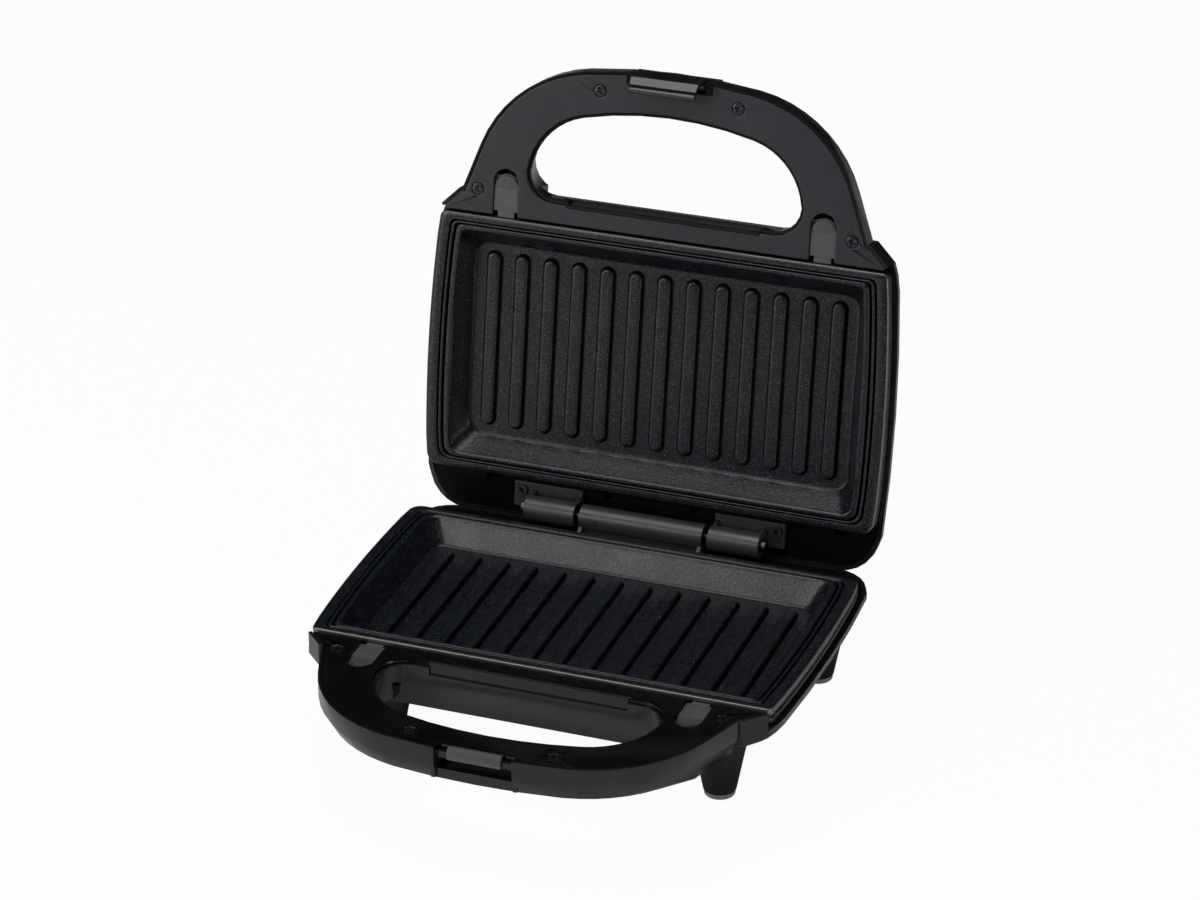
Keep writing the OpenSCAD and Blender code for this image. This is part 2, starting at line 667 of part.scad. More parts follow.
module thermostat(x) {
    translate([x, 0, pan_floor + gap]) {
        cylinder(r = 9, h = 3.2);
        cylinder(r = 6.5, h = 4.6);
        for (s = [-1, 1]) translate([s * 8 - 1.6, -2.5, 1]) cube([3.2, 5, 3]);
    }
}
module base_thermostat() { color("#d8d4c8") place_base() thermostat(40); }
module lid_thermostat() { color("#d8d4c8") place_lid() thermostat(40); }
module thermal_fuse() {
    color("#b9bcbd") place_base() translate([-49, 0, pan_floor + gap + 2.2]) {
        rotate([0, 90, 0]) cylinder(r = 2.2, h = 18);
        translate([-4, 0, 0]) rotate([0, 90, 0]) cylinder(r = 0.7, h = 26);
    }
}

// ---- grill plates ----
module plate_ring(a, b) {
    difference() {
        polygon(plate_outline(a, a * ring_share));
        polygon(plate_outline(b, b * ring_share));
    }
}
ring_share = 0.6;                           // rings are narrower along the depth than at the sides
module plate() {
    difference() {
        union() {
            slab(flange_h, flange_h + plate_wall) polygon(plate_outline(0, 0));
            slab(flange_h + 1, skirt_end) difference() {
                polygon(plate_outline(0, 0));
                polygon(plate_outline(plate_wall, plate_wall));
            }
            // well
            hull() {
                slab(flange_h, flange_h + 0.2) well_form(plate_wall, 0);
                slab(well_floor + plate_wall - 0.2, well_floor + plate_wall) well_form(plate_wall, well_slope);
            }
            slab(crest_h, flange_h + 1) plate_ring(7, 8.6);
            slab(crest_h, flange_h + 1) plate_ring(10.6, 13.4);
            // lugs for the rear clips and the front catches
            clip_places() translate([-clip_half + 1, -0.5, lug_h]) cube([2 * clip_half - 2, lug_out + 0.2, lug_t]);
            sides() translate([catch_x - 4.5, -plate_d / 2 - lug_out, lug_h])
                cube([9, lug_out + 0.5, lug_t]);
        }
        hull() {
            slab(-1, crest_h + 0.4) well_form(0, 0);
            slab(well_floor - 0.01, well_floor) well_form(0, well_slope);
        }
        slab(-1, flange_h + 0.7) plate_ring(6, 7);
        slab(-1, flange_h + 0.7) plate_ring(8.6, 10.6);
        slab(flange_h + 3.6, flange_h + 4.2) difference() {
            square([2 * plate_w, 2 * plate_d], center = true);
            polygon(plate_outline(0.5, 0.5));
        }
    }
    intersection() {
        for (i = [0 : rib_count - 1]) translate([(i - (rib_count - 1) / 2) * rib_pitch, -0.5, well_floor + rib_sink])
            grill_rib();
        slab(well_floor - rib_h - 1, well_floor + 0.5) square([well_w, well_d], center = true);
    }
}
rib_round = (rib_w * rib_w / 4 + rib_h * rib_h) / (2 * rib_h);
rib_sink = rib_round - rib_h;
module grill_rib() {
    half = rib_len / 2 - rib_w / 2;
    rotate([90, 0, 0]) cylinder(r = rib_round, h = 2 * half, center = true);
    for (s = [-1, 1]) translate([0, s * half, 0]) sphere(r = rib_round);
}
module well_form(grow, slope) {
    translate([0, 0.5]) polygon(rounded_rect(well_w / 2 + grow - slope, well_d / 2 + grow - slope, 8));
}
module base_plate() { color("#101011") place_base() plate(); }
module lid_plate() { color("#101011") place_lid() plate(); }

// ---- plate catches ----
module catch(x) {
    tip_y = -plate_d / 2 - 0.4;
    translate([x, 0, 0]) difference() {
        union() {
            slab(catch_top, catch_flange_end) translate([-catch_w / 2, catch_front_y + 0.6])
                square([catch_w, cover_edge - 0.6 - catch_front_y - 2.2]);
            slab(catch_top + 1.2, catch_flange_end) {
                translate([0, catch_front_y]) circle(r = catch_w / 2);
                translate([-catch_w / 2, catch_front_y]) square([catch_w, 6]);
            }
            slab(ledge_h, catch_flange_end) translate([-catch_flange_half, catch_block_front])
                square([2 * catch_flange_half, 14]);
            // nose over the lug of the plate
            slab(lug_h - gap - 1.8, lug_h - gap) translate([-4.2, cover_edge - 3.5]) square([8.4, tip_y - cover_edge + 3.5]);
            slab(lug_h - gap - 1.8, catch_flange_end) translate([-4.2, cover_edge - 6]) square([8.4, 3]);
            slab(catch_flange_end - 0.5, catch_spring_h + 3.2) translate([-rail_in + 0.6, catch_block_front])
                square([2 * rail_in - 1.2, 10]);
        }
        // pocket for the spring
        translate([0, catch_block_front - 1, catch_spring_h]) rotate([-90, 0, 0]) cylinder(r = 2.4, h = 8.5);
        // finger grooves
        for (i = [0 : 2]) translate([-catch_w / 2 - 1, catch_front_y - 3.2 + 2 * i, catch_top + 0.6])
            cube([catch_w + 2, 0.7, 1.2]);
    }
}
module base_catch_left() { color("#4b4d4f") place_base() catch(-catch_x); }
module base_catch_right() { color("#4b4d4f") place_base() catch(catch_x); }
module lid_catch_left() { color("#4b4d4f") place_lid() catch(-catch_x); }
module lid_catch_right() { color("#4b4d4f") place_lid() catch(catch_x); }

spring_wire = 0.5;
module catch_spring(x) {
    turns = 7;
    translate([x, catch_stop_y + 0.2 + spring_wire, catch_spring_h]) rotate([-90, 0, 0])
        for (i = [0 : turns - 1]) translate([0, 0, i * spring_wire * 1.9])
            rotate_extrude() translate([1.5, 0]) circle(r = spring_wire, $fn = 24);
}
module base_catch_spring_left() { color("#9a9da0") place_base() catch_spring(-catch_x); }
module base_catch_spring_right() { color("#9a9da0") place_base() catch_spring(catch_x); }
module lid_catch_spring_left() { color("#9a9da0") place_lid() catch_spring(-catch_x); }
module lid_catch_spring_right() { color("#9a9da0") place_lid() catch_spring(catch_x); }

// ---- latch ----
keeper_front = handle_front + 1.9;
module profile_x(half, pts) { translate([-half, 0, 0]) rotate([90, 0, 90]) linear_extrude(2 * half) polygon(pts); }
module latch_keeper() {
    color("#2b2b2a") place_base() profile_x(keeper_half, [
        [keeper_edge, cover_top], [recess_floor, cover_top], [keeper_front, cover_top + 3.4],
        [keeper_front, undercut_h - 0.4], [recess_floor - gap, undercut_h - 0.4],
        [recess_floor - gap, ledge_h - gap], [keeper_edge, ledge_h - gap]]);
}
claw_bend_h = undercut_h - 0.8;
claw_bend_y = keeper_front - gap - latch_t;
claw_tip_y = handle_front + 7.6;
latch_front = handle_front - 0.9;
latch_hub = 2.7;
module latch() {
    color("#30322c") place_lid() difference() {
        union() {
            profile_x(latch_w / 2, [
                [latch_pin_y, latch_pin_h - latch_hub], [latch_pin_y, latch_pin_h + latch_hub - 0.6],
                [latch_front + 1.2, latch_top_h], [latch_front, latch_top_h - 0.5],
                [claw_bend_y, -claw_bend_h], [claw_tip_y - 1.2, -latch_reach],
                [claw_tip_y, -latch_reach + 0.4], [claw_tip_y, -latch_reach + 1.4],
                [keeper_front - gap, -claw_bend_h - latch_t * 0.6], [keeper_front - gap, -cover_top - 2.6]]);
            translate([-latch_w / 2, latch_pin_y, latch_pin_h]) rotate([0, 90, 0]) cylinder(r = latch_hub, h = latch_w);
        }
        translate([-latch_w, latch_pin_y, latch_pin_h]) rotate([0, 90, 0]) cylinder(r = latch_pin_r + 0.05, h = 2 * latch_w);
        // sides slant in towards the claw
        for (s = [-1, 1]) translate([s * (latch_w / 2 + 8), 0, 0]) rotate([0, s * 5, 0]) translate([-8, -200, -30]) cube([16, 200, 29]);
        translate([-4.6, latch_pin_y - 2.2, latch_pin_h - 4]) cube([9.2, 8, 8]);
    }
}
module latch_pin() {
    color("#a9abad") place_lid() translate([-ear_half - 1.9, latch_pin_y, latch_pin_h]) rotate([0, 90, 0])
        cylinder(r = latch_pin_r, h = 2 * ear_half + 3.8);
}
module latch_spring() {
    turns = 5;
    color("#9a9da0") place_lid() {
        translate([0, latch_pin_y, latch_pin_h]) rotate([0, 90, 0])
            for (i = [0 : turns - 1]) translate([0, 0, (i - (turns - 1) / 2) * 0.75])
                rotate_extrude() translate([latch_pin_r + 0.5, 0]) circle(r = 0.4, $fn = 24);
        translate([0, latch_pin_y, latch_pin_h + latch_pin_r + 0.5]) rotate([-90, 0, 0])
            cylinder(r = 0.4, h = lid_recess_floor - latch_pin_y - 0.2);
    }
}

// ---- hinge ----
module barrel(x0, x1) { rod_at(x0, x1, barrel_r); }
module rod_at(x0, x1, r) { translate([x0, hinge_y, 0]) rotate([0, 90, 0]) cylinder(r = r, h = x1 - x0); }
module bracket(x0, x1, leaf_x0, leaf_x1, leaf_y0) {
    difference() {
        union() {
            barrel(x0, x1);
            translate([x0, hinge_y - 4.2, 3]) cube([x1 - x0, 8.4, leaf_end - 3]);
            translate([leaf_x0, leaf_y0, leaf_end - leaf_t]) cube([leaf_x1 - leaf_x0, hinge_y + 2 - leaf_y0, leaf_t]);
            // gussets from the barrel down to the leaf
            for (x = [x0, x1 - 2]) translate([x, 0, 0]) rotate([90, 0, 90]) linear_extrude(2)
                polygon([[leaf_y0 + 2, leaf_end - 1], [hinge_y - barrel_r + 0.8, 2.5], [hinge_y, 2.5], [hinge_y, leaf_end - 1]]);
        }
        rod_at(x0 - 1, x1 + 1, pin_r + 0.05);
    }
}
module hinge_middle_bracket() {
    color("#57544f") place_base() difference() {
        bracket(-barrel_mid, barrel_mid, -barrel_mid, barrel_mid, mid_screw_y - 4);
        base_leaf_screw_places() translate([0, 0, -1]) cylinder(r = shank_r + 0.2, h = 8);
        base_leaf_screw_places() translate([0, 0, -14]) cylinder(r = head_r + 0.3, h = 14);
    }
}
module lid_bracket(s) {
    leaf_out = leaf_screw_x + 4;
    lo = s < 0 ? -barrel_out : barrel_in;
    hi = s < 0 ? -barrel_in : barrel_out;
    difference() {
        bracket(lo, hi, s < 0 ? -leaf_out : lo, s < 0 ? hi : leaf_out, leaf_screw_y - 4);
        lid_leaf_screw_places() translate([0, 0, -1]) cylinder(r = shank_r + 0.2, h = 8);
    }
}
module lid_hinge_bracket_left() { color("#57544f") place_lid() lid_bracket(-1); }
module lid_hinge_bracket_right() { color("#57544f") place_lid() lid_bracket(1); }
module hinge_pin() {
    color("#b9bbbd") place_base() {
        rod_at(-barrel_out - 1.2, barrel_out + 1.2, pin_r);
        rod_at(-barrel_out - 2.4, -barrel_out - 0.6, pin_r + 1.2);
        rod_at(barrel_out + 0.6, barrel_out + 2.4, pin_r + 1.2);
    }
}
module leaf_screw() { translate([0, 0, -0.02]) cross_screw(2.6, shank_r, 1.2, 6, 40); }
module base_hinge_screws() { color("#3c3f42") place_base() base_leaf_screw_places() leaf_screw(); }
module lid_hinge_screws() { color("#3c3f42") place_lid() lid_leaf_screw_places() leaf_screw(); }

// ---- feet ----
leg_z = parting_z - 14;
leg_seat = 8;                               // seat of a leg screw over the worktop
leg_screw_len = parting_z - leg_boss_top[0] - 1.4 - leg_seat;
module leg_places() {
    sides() {
        translate([foot_front_x, middle_y - foot_front_y, 0]) children();
        translate([foot_rear_x, middle_y + foot_rear_y, 0]) children();
    }
}
module legs() {
    color("#141414") difference() {
        leg_places() translate([0, 0, pad_t + gap])
            cylinder(r1 = foot_r + pad_t * tan(foot_taper), r2 = foot_r + leg_z * tan(foot_taper), h = leg_z - pad_t);
        place_base() body_dome(base_rear, 0, -gap, rim_h);
        leg_places() translate([0, 0, -1]) cylinder(r = leg_shank_r + 0.3, h = parting_z);
        leg_places() translate([0, 0, -1]) cylinder(r = 3.4, h = leg_seat + 1);
    }
}
module foot_pads() {
    color("#a5a8a3") leg_places() {
        cylinder(r1 = foot_r - 0.4, r2 = foot_r, h = 0.5);
        translate([0, 0, 0.5]) cylinder(r = foot_r, h = pad_t - 0.5);
    }
}
module leg_screws() {
    color("#8f9294") leg_places() translate([0, 0, leg_seat - 0.02]) cross_screw(3, leg_shank_r, 2.2, leg_screw_len, 0);
}

// ---- supply ----
block_x = gland_x;
block_y = 60.5;
module terminal_block() {
    color("#e6e2d6") place_base() difference() {
        union() {
            translate([block_x - 14, block_y, 13.6]) cube([28, 11, 9]);
            translate([block_x - 5, block_y + 2, 20]) cube([10, 5, half_h - shell_wall - 21.7]);
        }
        for (i = [-1 : 1]) {
            translate([block_x + i * 9, block_y + 5.5, 12]) cylinder(r = 2.2, h = 6);
            translate([block_x + i * 9, block_y - 2, 19]) rotate([-90, 0, 0]) cylinder(r = 1.6, h = 20);
        }
    }
}
collar_half = gland_r + 1.4;                // collar behind the shell wall, flat beside the dome
module cord_gland() {
    color("#101010") place_base() translate([gland_x, base_rear, gland_h]) rotate([-90, 0, 0]) difference() {
        union() {
            translate([0, 0, -gland_in]) cylinder(r = gland_r, h = gland_in + gland_out - 0.8);
            translate([0, 0, gland_out - 0.8]) cylinder(r1 = gland_r, r2 = gland_r - 0.8, h = 0.8);
            translate([-collar_half, -3.4, -gland_in]) cube([2 * collar_half, 3.4 + collar_half, 1.4]);
        }
        translate([0, 0, -gland_in - 1]) cylinder(r = 3.2, h = gland_in + gland_out + 2);
    }
}
module lead(x, y0, y1, h) { translate([x, y0, h]) rotate([-90, 0, 0]) cylinder(r = 1.2, h = y1 - y0); }
module supply_leads() {
    color("#8e2d26") place_base() {
        for (i = [-1 : 1]) lead(block_x + i * 9, block_y + 1, block_y + 16 - abs(i), 19);
        for (i = [-1 : 1]) translate([block_x + i * 9, block_y + 16 - abs(i), 19]) sphere(r = 1.2);
    }
}

// ---- indicator lamps ----
lens_top = half_h + lid_crown + 0.4;
module lens(x) {
    translate([x, lamp_y, lamp_seat]) {
        cylinder(r = lamp_r, h = lens_top - lamp_seat - 0.8);
        translate([0, 0, lens_top - lamp_seat - 0.8]) cylinder(r1 = lamp_r, r2 = lamp_r - 0.8, h = 0.8);
    }
}
lamp_seat = half_h - shell_wall - 0.1;
module power_lens() { color("#a51f16") place_lid() lens(-lamp_x); }
module ready_lens() { color("#1f8a3a") place_lid() lens(lamp_x); }
module lamp_carrier() {
    color("#d9d9d6") place_lid() difference() {
        translate([-lamp_x - 8, lamp_y - 6, lamp_seat - gap - 2]) cube([2 * lamp_x + 16, 12, 2]);
        for (s = [-1, 1]) translate([s * lamp_x, lamp_y, lamp_seat - 6]) cylinder(r = 1.6, h = 8);
    }
}

base_shell();
base_handle_cover();
base_cover_screws();
base_frame();
base_frame_screws();
base_reflector();
base_element();
base_thermostat();
base_plate();
base_catch_left();
base_catch_right();
base_catch_spring_left();
base_catch_spring_right();
latch_keeper();
hinge_middle_bracket();
hinge_pin();
base_hinge_screws();
legs();
foot_pads();
leg_screws();
terminal_block();
thermal_fuse();
supply_leads();
cord_gland();
lid_shell();
lid_handle_cover();
lid_cover_screws();
lid_frame();
lid_frame_screws();
lid_reflector();
lid_element();
lid_thermostat();
lid_plate();
lid_catch_left();
lid_catch_right();
lid_catch_spring_left();
lid_catch_spring_right();
lid_hinge_bracket_left();
lid_hinge_bracket_right();
lid_hinge_screws();
latch();
latch_pin();
latch_spring();
power_lens();
ready_lens();
lamp_carrier();
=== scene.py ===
import math

import bmesh
import bpy
from mathutils import Matrix, Vector


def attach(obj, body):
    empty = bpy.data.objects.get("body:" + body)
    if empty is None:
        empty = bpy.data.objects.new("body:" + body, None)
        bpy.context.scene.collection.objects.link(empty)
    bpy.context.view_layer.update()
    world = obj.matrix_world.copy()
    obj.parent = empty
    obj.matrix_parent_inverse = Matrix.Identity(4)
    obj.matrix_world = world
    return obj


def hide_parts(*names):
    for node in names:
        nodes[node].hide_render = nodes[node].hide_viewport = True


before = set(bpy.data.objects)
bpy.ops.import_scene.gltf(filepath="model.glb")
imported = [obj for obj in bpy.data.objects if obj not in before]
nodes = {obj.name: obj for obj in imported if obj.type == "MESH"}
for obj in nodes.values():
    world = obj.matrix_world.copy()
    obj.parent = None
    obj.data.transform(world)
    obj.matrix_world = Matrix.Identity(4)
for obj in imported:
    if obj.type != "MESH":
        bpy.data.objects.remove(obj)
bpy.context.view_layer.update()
print("toaster: frame loaded,", len(nodes), "nodes")

# places shared by several pieces, in metres
layout = {
    "partingZ": 0.0606,
    "hingeY": 0.0797,                   # behind the middle of the plates
    "middleY": 0.0039,                  # middle of the plates behind the origin
    "openAngle": math.radians(100.2),
}


def placeBase(point):
    # half coordinates (third value is the height away from the food) to the base
    x, y, h = point
    return x, y + layout["middleY"], layout["partingZ"] - h


def placeLid(point):
    x, y, h = point
    c, s = math.cos(-layout["openAngle"]), math.sin(-layout["openAngle"])
    y -= layout["hingeY"]
    back = layout["hingeY"] + layout["middleY"]
    return x, back + y * c - h * s, layout["partingZ"] + y * s + h * c


# camera
cameraValues = {
    "eye": (0.6201, -1.6154, 1.0405),
    "azimuth": 20.7108,
    "elevation": 27.3950,
    "roll": -0.6546,
    "focal": 4186.154,                  # in pixels of the picture
    "pictureWidth": 1200,
    "sensorWidth": 36,
    "clipEnd": 20,
}


def makeCamera():
    v = cameraValues
    az, el, roll = (math.radians(v[k]) for k in ("azimuth", "elevation", "roll"))
    back = Vector((math.sin(az) * math.cos(el), -math.cos(az) * math.cos(el), math.sin(el)))
    right = Vector((math.cos(az), math.sin(az), 0))
    up = back.cross(right)
    rolledRight = right * math.cos(roll) + up * math.sin(roll)
    rolledUp = up * math.cos(roll) - right * math.sin(roll)
    data = bpy.data.cameras.new("viewCamera")
    data.sensor_width = v["sensorWidth"]
    data.lens = v["focal"] * v["sensorWidth"] / v["pictureWidth"]
    data.clip_end = v["clipEnd"]
    cam = bpy.data.objects.new("viewCamera", data)
    turn = Matrix((rolledRight, rolledUp, back)).transposed().to_4x4()
    cam.matrix_world = Matrix.Translation(Vector(v["eye"])) @ turn
    bpy.context.scene.collection.objects.link(cam)
    bpy.context.scene.camera = cam


makeCamera()
print("toaster: camera placed")

# studio
studioValues = {
    "floorTone": 0.9,
    "floorRough": 0.9,
    "floorHalf": 6,
    "floorLift": 0.96,                  # share of the floor's own light that the camera sees
    "worldTone": (0.88, 0.93, 1.0),
    "worldStrength": 0.015,
    "softboxes": {
        # name: place, target, width, height, power
        "topSoftbox": ((-0.25, -0.25, 1.9), (0, 0, 0.1), 1.3, 1.1, 16),
        "frontSoftbox": ((-1.25, -1.35, 0.7), (0, 0, 0.15), 0.6, 1.2, 11),
        "highSoftbox": ((-0.55, -1.3, 1.15), (0, 0, 0.06), 0.6, 0.4, 3),
        "rightSoftbox": ((1.3, -0.5, 0.35), (0, 0, 0.08), 0.5, 0.6, 3.5),
    },
}


def makeSoftbox(name, place, target, width, height, power):
    data = bpy.data.lights.new(name, "AREA")
    data.shape = "RECTANGLE"
    data.size = width
    data.size_y = height
    data.energy = power
    lamp = bpy.data.objects.new(name, data)
    lamp.location = place
    lamp.rotation_euler = (Vector(target) - Vector(place)).to_track_quat("-Z", "Y").to_euler()
    bpy.context.scene.collection.objects.link(lamp)


def makeWorld():
    v = studioValues
    world = bpy.data.worlds.new("studioWorld")
    world.use_nodes = True
    tree = world.node_tree
    room = tree.nodes["Background"]
    room.inputs["Color"].default_value = (*v["worldTone"], 1)
    room.inputs["Strength"].default_value = v["worldStrength"]
    paper = tree.nodes.new("ShaderNodeBackground")
    paper.inputs["Color"].default_value = (1, 1, 1, 1)
    paper.inputs["Strength"].default_value = 1.0
    path = tree.nodes.new("ShaderNodeLightPath")
    pick = tree.nodes.new("ShaderNodeMixShader")
    tree.links.new(path.outputs["Is Camera Ray"], pick.inputs["Fac"])
    tree.links.new(room.outputs["Background"], pick.inputs[1])
    tree.links.new(paper.outputs["Background"], pick.inputs[2])
    tree.links.new(pick.outputs["Shader"], tree.nodes["World Output"].inputs["Surface"])
    bpy.context.scene.world = world
    bpy.context.scene.view_settings.view_transform = "Standard"


def makeFloor():
    v = studioValues
    mat = bpy.data.materials.new("floorPaper")
    mat.use_nodes = True
    tree = mat.node_tree
    bsdf = tree.nodes["Principled BSDF"]
    bsdf.inputs["Base Color"].default_value = (*[v["floorTone"]] * 3, 1)
    bsdf.inputs["Roughness"].default_value = v["floorRough"]
    glow = tree.nodes.new("ShaderNodeEmission")
    glow.inputs["Strength"].default_value = 1.0
    path = tree.nodes.new("ShaderNodeLightPath")
    share = tree.nodes.new("ShaderNodeMath")
    share.operation = "MULTIPLY"
    share.inputs[1].default_value = v["floorLift"]
    mix = tree.nodes.new("ShaderNodeMixShader")
    tree.links.new(path.outputs["Is Camera Ray"], share.inputs[0])
    tree.links.new(share.outputs[0], mix.inputs["Fac"])
    tree.links.new(bsdf.outputs["BSDF"], mix.inputs[1])
    tree.links.new(glow.outputs["Emission"], mix.inputs[2])
    tree.links.new(mix.outputs["Shader"], tree.nodes["Material Output"].inputs["Surface"])
    half = v["floorHalf"]
    corners = [(-half, -half, 0), (half, -half, 0), (half, half, 0), (-half, half, 0)]
    mesh = bpy.data.meshes.new("floor")
    mesh.from_pydata(corners, [], [(0, 1, 2, 3)])
    mesh.materials.append(mat)
    floor = bpy.data.objects.new("floor", mesh)
    bpy.context.scene.collection.objects.link(floor)


makeWorld()
for boxName, boxValues in studioValues["softboxes"].items():
    makeSoftbox(boxName, *boxValues)
makeFloor()
print("toaster: studio lit")


# shader groups: they give masks and values only
maskValues = {
    "wornEdge": (0.52, 0.62),           # pointiness where rubbing starts and is full
    "wornDetail": 6,
    # pointiness below which creases get painted shade, and above which crests get a painted highlight
    "creaseShadeUpTo": 0.49, "crestHighlightFrom": 0.51,
    "speckDetail": 4, "speckHeightScale": 0.45,
    "mottleSpread": (0.3, 0.7), "mottleDetail": 5,
    "grainScale": 40, "grainDetail": 3,
    "dustTilt": (0.3, 1.0),             # height of the normal where dust starts to lie
    "lintSpread": (0.45, 0.75), "lintDetail": 8,
}


def newGroup(name, inputs, outputs):
    group = bpy.data.node_groups.new(name, "ShaderNodeTree")
    for label, value in inputs:
        socket = group.interface.new_socket(name=label, in_out="INPUT", socket_type="NodeSocketFloat")
        socket.default_value = value
    for label in outputs:
        group.interface.new_socket(name=label, in_out="OUTPUT", socket_type="NodeSocketFloat")
    return group, group.nodes.new("NodeGroupInput"), group.nodes.new("NodeGroupOutput")


def mathNode(tree, operation, a, b, clamp=False):
    node = tree.nodes.new("ShaderNodeMath")
    node.operation = operation
    node.use_clamp = clamp
    for slot, value in enumerate((a, b)):
        if isinstance(value, (int, float)):
            node.inputs[slot].default_value = value
        else:
            tree.links.new(value, node.inputs[slot])
    return node.outputs[0]


def objectNoise(tree, scale, detail):
    place = tree.nodes.new("ShaderNodeTexCoord")
    noise = tree.nodes.new("ShaderNodeTexNoise")
    noise.inputs["Detail"].default_value = detail
    tree.links.new(place.outputs["Object"], noise.inputs["Vector"])
    tree.links.new(scale, noise.inputs["Scale"])
    return noise.outputs["Fac"]


def rangeNode(tree, value, low, high, toLow, toHigh):
    node = tree.nodes.new("ShaderNodeMapRange")
    settings = {"Value": value, "From Min": low, "From Max": high, "To Min": toLow, "To Max": toHigh}
    for label, v in settings.items():
        if isinstance(v, (int, float)):
            node.inputs[label].default_value = v
        else:
            tree.links.new(v, node.inputs[label])
    return node.outputs["Result"]


def makeEdgeWear():
    # mask of rubbed convex edges, broken up by noise
    group, gi, go = newGroup("edgeWear", [("Amount", 1.0), ("Scale", 120.0)], ["Mask"])
    geo = group.nodes.new("ShaderNodeNewGeometry")
    edge = rangeNode(group, geo.outputs["Pointiness"], *maskValues["wornEdge"], 0, 1)
    noise = objectNoise(group, gi.outputs["Scale"], maskValues["wornDetail"])
    patchy = mathNode(group, "MULTIPLY", edge, noise)
    group.links.new(mathNode(group, "MULTIPLY", patchy, gi.outputs["Amount"], True), go.inputs["Mask"])
    return group


def makeCoatSpeckle():
    # grain of a sprayed coating: pale flecks and a height
    group, gi, go = newGroup("coatSpeckle", [("Scale", 1500.0), ("Density", 0.42)], ["Flecks", "Height"])
    place = group.nodes.new("ShaderNodeTexCoord")
    cells = group.nodes.new("ShaderNodeTexVoronoi")
    group.links.new(place.outputs["Object"], cells.inputs["Vector"])
    group.links.new(gi.outputs["Scale"], cells.inputs["Scale"])
    dots = rangeNode(group, cells.outputs["Distance"], 0, gi.outputs["Density"], 1, 0)
    chance = group.nodes.new("ShaderNodeTexWhiteNoise")
    group.links.new(cells.outputs["Position"], chance.inputs["Vector"])
    flecks = mathNode(group, "MULTIPLY", dots, chance.outputs["Value"])
    group.links.new(flecks, go.inputs["Flecks"])
    coarser = mathNode(group, "MULTIPLY", gi.outputs["Scale"], maskValues["speckHeightScale"])
    group.links.new(objectNoise(group, coarser, maskValues["speckDetail"]), go.inputs["Height"])
    return group


def makeGrooveMask():
    # painted shade in concave creases and a painted highlight on convex crests, both taken from
    # pointiness
    group, gi, go = newGroup("creaseShadeAndCrestHighlight", [("Depth", 0.06), ("Crest", 0.06)], ["Groove", "Crest"])
    v = maskValues
    pointiness = group.nodes.new("ShaderNodeNewGeometry").outputs["Pointiness"]
    low = mathNode(group, "SUBTRACT", v["creaseShadeUpTo"], gi.outputs["Depth"])
    high = mathNode(group, "ADD", v["crestHighlightFrom"], gi.outputs["Crest"])
    group.links.new(rangeNode(group, pointiness, low, v["creaseShadeUpTo"], 1, 0), go.inputs["Groove"])
    group.links.new(rangeNode(group, pointiness, v["crestHighlightFrom"], high, 0, 1), go.inputs["Crest"])
    return group


def makeSurfaceMottle():
    # slow change of gloss on a moulded or handled surface, and its fine grain
    sockets = [("Scale", 30.0), ("Low", 0.2), ("High", 0.3)]
    group, gi, go = newGroup("surfaceMottle", sockets, ["Gloss", "Grain"])
    slow = objectNoise(group, gi.outputs["Scale"], maskValues["mottleDetail"])
    gloss = rangeNode(group, slow, *maskValues["mottleSpread"], gi.outputs["Low"], gi.outputs["High"])
    group.links.new(gloss, go.inputs["Gloss"])
    finer = mathNode(group, "MULTIPLY", gi.outputs["Scale"], maskValues["grainScale"])
    group.links.new(objectNoise(group, finer, maskValues["grainDetail"]), go.inputs["Grain"])
    return group


def makeDustFilm():
    # faint lint that settles on faces that look up
    group, gi, go = newGroup("dustFilm", [("Amount", 0.05), ("Scale", 90.0)], ["Mask"])
    geo = group.nodes.new("ShaderNodeNewGeometry")
    axes = group.nodes.new("ShaderNodeSeparateXYZ")
    group.links.new(geo.outputs["Normal"], axes.inputs["Vector"])
    upward = rangeNode(group, axes.outputs["Z"], *maskValues["dustTilt"], 0, 1)
    noise = objectNoise(group, gi.outputs["Scale"], maskValues["lintDetail"])
    lint = rangeNode(group, noise, *maskValues["lintSpread"], 0, 1)
    film = mathNode(group, "MULTIPLY", upward, lint)
    group.links.new(mathNode(group, "MULTIPLY", film, gi.outputs["Amount"], True), go.inputs["Mask"])
    return group


edgeWear = makeEdgeWear()
coatSpeckle = makeCoatSpeckle()
creaseShadeAndCrestHighlight = makeGrooveMask()
surfaceMottle = makeSurfaceMottle()
dustFilm = makeDustFilm()
print("toaster: shader groups built")


